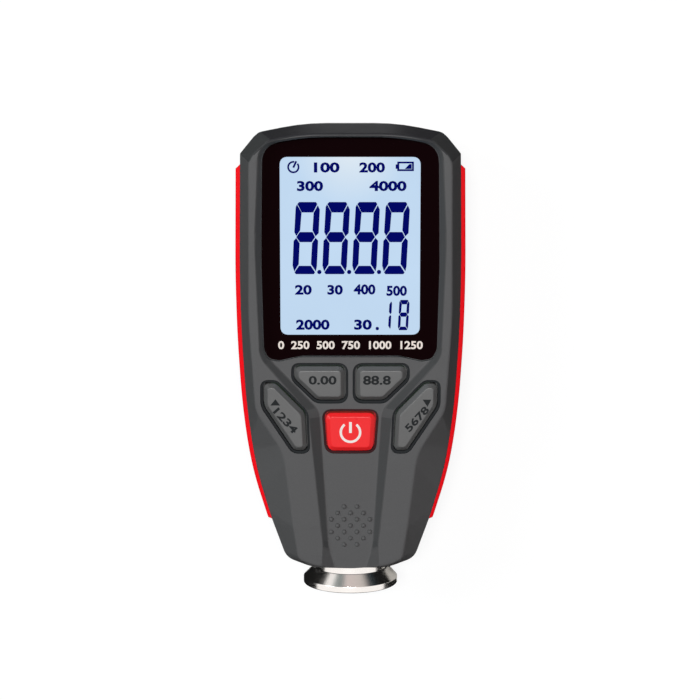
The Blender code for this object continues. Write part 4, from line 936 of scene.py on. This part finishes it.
def cells():
    """The two cells, with a jacket between steel ends."""
    for name, ahead in (("battery_left", 1), ("battery_right", -1)):
        low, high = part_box(name)
        middle, radius, half = (low + high) / 2, (high.x - low.x) / 2, (high.y - low.y) / 2
        nub, rim = 1.9 * MM, 0.35 * MM
        profile = [
            (0, -half), (radius - 2 * rim, -half), (radius - 2 * rim, -half + rim), (radius - rim, -half + rim),
            (radius, -half + 2 * rim), (radius, half - 3 * rim), (radius - rim, half - 2.2 * rim),
            (nub + rim, half - 2.2 * rim), (nub, half - 1.8 * rim), (nub, half - rim / 2),
            (nub - rim / 2, half), (0, half),
        ]
        points = [(r, ahead * y) for r, y in profile]
        mesh = turned_mesh(f"{name}_skin", points, sides=64)
        for finish in (jacket, steel):
            mesh.materials.append(finish)
        for polygon in mesh.polygons:
            under_jacket = -half + rim < ahead * polygon.center.y < half - 2.5 * rim
            polygon.material_index = 0 if under_jacket else 1
        mesh.transform(Matrix.Translation((middle.x, middle.y, middle.z - PARTING_Z)))
        cell = add(f"{name}_skin", mesh, "housing")
        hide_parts(name)
        smooth(cell)


# The finish of the frame's own pieces, by their material slots. Those that no skin replaces show it.
OTHERS = {
    "dark_plastic": plastic, "spring_steel": steel, "black_plastic": black, "board_green": board_green,
    "polished_steel": chrome, "copper_wire": copper, "cell_jacket": jacket, "strip_rubber": grey_rubber,
    "lead_jacket": lead_black, "clear_plastic": milky, "lcd_glass": lcd_ground, "red_rubber": rubber,
    "key_plastic": key_plastic, "red_plastic": key_red, "lens_plastic": lens_black,
}


def finish_frame():
    """Materials and small bevels for the frame's own pieces."""
    slots = {part["node"]: part["material_slot"] for part in frame["record"]["subparts"]}
    for name, node in frame["nodes"].items():
        node.data.materials.clear()
        node.data.materials.append(OTHERS[slots[name]])
        soft = node.modifiers.new("soft edges", "BEVEL")
        soft.width = 0.12 * MM
        soft.segments = 2
        soft.limit_method = "ANGLE"
        soft.angle_limit = radians(40)
        flat_faces(node)


# Camera, light and floor

def camera():
    data = bpy.data.cameras.new("camera")
    data.sensor_width = 36
    data.lens = 91.371
    eye = placed("camera", data)
    eye.location = (-0.1 * MM, 57.536 * MM, 409.107 * MM)
    eye.rotation_euler = (radians(-8), 0, 0)
    bpy.context.scene.camera = eye


def lamp(name, place, size, power, color=(1, 1, 1)):
    """A rectangular lamp that faces the origin."""
    data = bpy.data.lights.new(name, "AREA")
    data.shape = "RECTANGLE"
    data.size, data.size_y = size
    data.energy = power
    data.color = color
    made = placed(name, data)
    made.location = place
    made.rotation_euler = Vector(place).to_track_quat("Z", "Y").to_euler()


def sheen_bands(nodes, links):
    """What metal shows: a white room with a darker end wall in panels, and a dark wall behind the probe."""
    place = nodes.new("ShaderNodeTexCoord")
    parts = nodes.new("ShaderNodeSeparateXYZ")
    links.new(place.outputs["Generated"], parts.inputs["Vector"])
    turn = nodes.new("ShaderNodeMath")
    turn.operation = "ARCTAN2"
    links.new(parts.outputs["X"], turn.inputs[0])
    links.new(parts.outputs["Z"], turn.inputs[1])
    across = nodes.new("ShaderNodeMapRange")
    widest = 130
    across.inputs["From Min"].default_value = radians(-widest)
    across.inputs["From Max"].default_value = radians(widest)
    links.new(turn.outputs["Value"], across.inputs["Value"])
    wall = nodes.new("ShaderNodeValToRGB")
    links.new(across.outputs["Result"], wall.inputs["Fac"])
    stops = [
        (-112, (0.01, 0.01, 0.01)), (-100, (1, 1, 1)), (-70, (1, 1, 1)), (-62, (0.2, 0.24, 0.24)),
        (-36, (0.2, 0.23, 0.23)), (-22, (0.64, 0.57, 0.56)), (54, (0.56, 0.53, 0.51)), (74, (0.012, 0.025, 0.035)),
        (100, (0.01, 0.015, 0.015)), (115, (0.7, 0.7, 0.66)),
    ]
    while len(wall.color_ramp.elements) < len(stops):
        wall.color_ramp.elements.new(0.5)
    for element, (angle, color) in zip(wall.color_ramp.elements, stops):
        element.position = (angle + widest) / (2 * widest)
        element.color = (*color, 1)
    found = None
    for low, high, other in ((0.3, 0.45, wall.outputs["Color"]), (-0.62, -0.8, None)):
        share = nodes.new("ShaderNodeMapRange")
        share.inputs["From Min"].default_value = low
        share.inputs["From Max"].default_value = high
        links.new(parts.outputs["Y"], share.inputs["Value"])
        mix = blend(nodes, (1, 1, 1), (0.02, 0.02, 0.02))
        links.new(share.outputs["Result"], mix.inputs["Factor"])
        if found:
            links.new(found, mix.inputs["A"])
        if other:
            links.new(other, mix.inputs["B"])
        found = mix.outputs["Result"]
    return found


def white_rays(nodes, links):
    """One for the rays that see the white background: the camera's, and those that metal and glass send."""
    rays = nodes.new("ShaderNodeLightPath")
    found = rays.outputs["Is Camera Ray"]
    for kind in ("Is Glossy Ray", "Is Transmission Ray"):
        either = nodes.new("ShaderNodeMath")
        either.operation = "MAXIMUM"
        links.new(found, either.inputs[0])
        links.new(rays.outputs[kind], either.inputs[1])
        found = either.outputs["Value"]
    return found


def world():
    """White for the camera, bands for shiny surfaces, and a faint even light for the object."""
    made = bpy.data.worlds.new("white room")
    made.use_nodes = True
    nodes, links = made.node_tree.nodes, made.node_tree.links
    ground = nodes["Background"]
    ground.inputs["Color"].default_value = (0.04, 0.04, 0.04, 1)
    white = nodes.new("ShaderNodeBackground")
    white.inputs["Color"].default_value = (1, 1, 1, 1)
    bands = nodes.new("ShaderNodeBackground")
    links.new(sheen_bands(nodes, links), bands.inputs["Color"])
    rays = nodes.new("ShaderNodeLightPath")
    found = ground.outputs["Background"]
    for kind, shown in (("Is Glossy Ray", bands), ("Is Transmission Ray", white), ("Is Camera Ray", white)):
        mix = nodes.new("ShaderNodeMixShader")
        links.new(rays.outputs[kind], mix.inputs["Fac"])
        links.new(found, mix.inputs[1])
        links.new(shown.outputs["Background"], mix.inputs[2])
        found = mix.outputs["Shader"]
    links.new(found, nodes["World Output"].inputs["Surface"])
    bpy.context.scene.world = made


def floor():
    bm = bmesh.new()
    bmesh.ops.create_grid(bm, x_segments=1, y_segments=1, size=3.0)
    mesh = bpy.data.meshes.new("floor")
    bm.to_mesh(mesh)
    bm.free()
    sheet = add("floor", mesh, material=white_floor())
    sheet.location.z = -0.05 * MM  # so that it and the object's rest face don't share a plane


def cards():
    """Black and grey cards lying by the object, that only its shiny surfaces show. Sizes in metres."""
    black_card = surface("black_card", (0.01, 0.01, 0.01), 0.9, bump=0.0, specular=0.0)
    grey_card = surface("grey_card", (0.6, 0.6, 0.57), 0.9, bump=0.0, specular=0.0)
    for name, low_x, high_x, low_y, high_y, material in (
        ("card_left", -2.9, -0.012, -0.055, 2.9, black_card), ("card_right", 0.012, 2.9, -0.036, 2.9, black_card),
        ("card_probe", 0.005, 2.9, -0.055, -0.036, grey_card), ("card_low", -2.9, 2.9, -0.3, -0.055, black_card),
    ):
        low, high = (low_x, low_y, 0.3 * MM), (high_x, high_y, 0.5 * MM)
        made = add(name, box_mesh(name, low, high), material=material)
        made.visible_camera = made.visible_diffuse = made.visible_shadow = made.visible_transmission = False


def white_floor():
    """White where it is seen, with the object's shadow, and grey for the light that it throws back."""
    made, nodes, links, shader = blank("floor_white")
    shader.inputs["Base Color"].default_value = (0.2, 0.2, 0.2, 1)
    shader.inputs["Specular IOR Level"].default_value = 0
    shader.inputs["Emission Color"].default_value = (1, 1, 1, 1)
    lit = nodes.new("ShaderNodeMath")
    lit.operation = "MULTIPLY"
    lit.inputs[1].default_value = 0.85
    links.new(white_rays(nodes, links), lit.inputs[0])
    links.new(lit.outputs["Value"], shader.inputs["Emission Strength"])
    return made


front_shell()
side_grips()
display_lens()
lcd_segments()
lcd_figures()
keys()
key_marks()
probe_collar()
probe_spring()
cells()
finish_frame()
camera()
world()
floor()
cards()
lamp("overhead", (-0.05, 0.3, 1.5), (0.6, 0.3), 16.5)
lamp("left", (-1.1, 0.4, 0.85), (0.5, 0.5), 5.5, (0.85, 1, 1))

scene = bpy.context.scene
scene.view_settings.view_transform = "Standard"
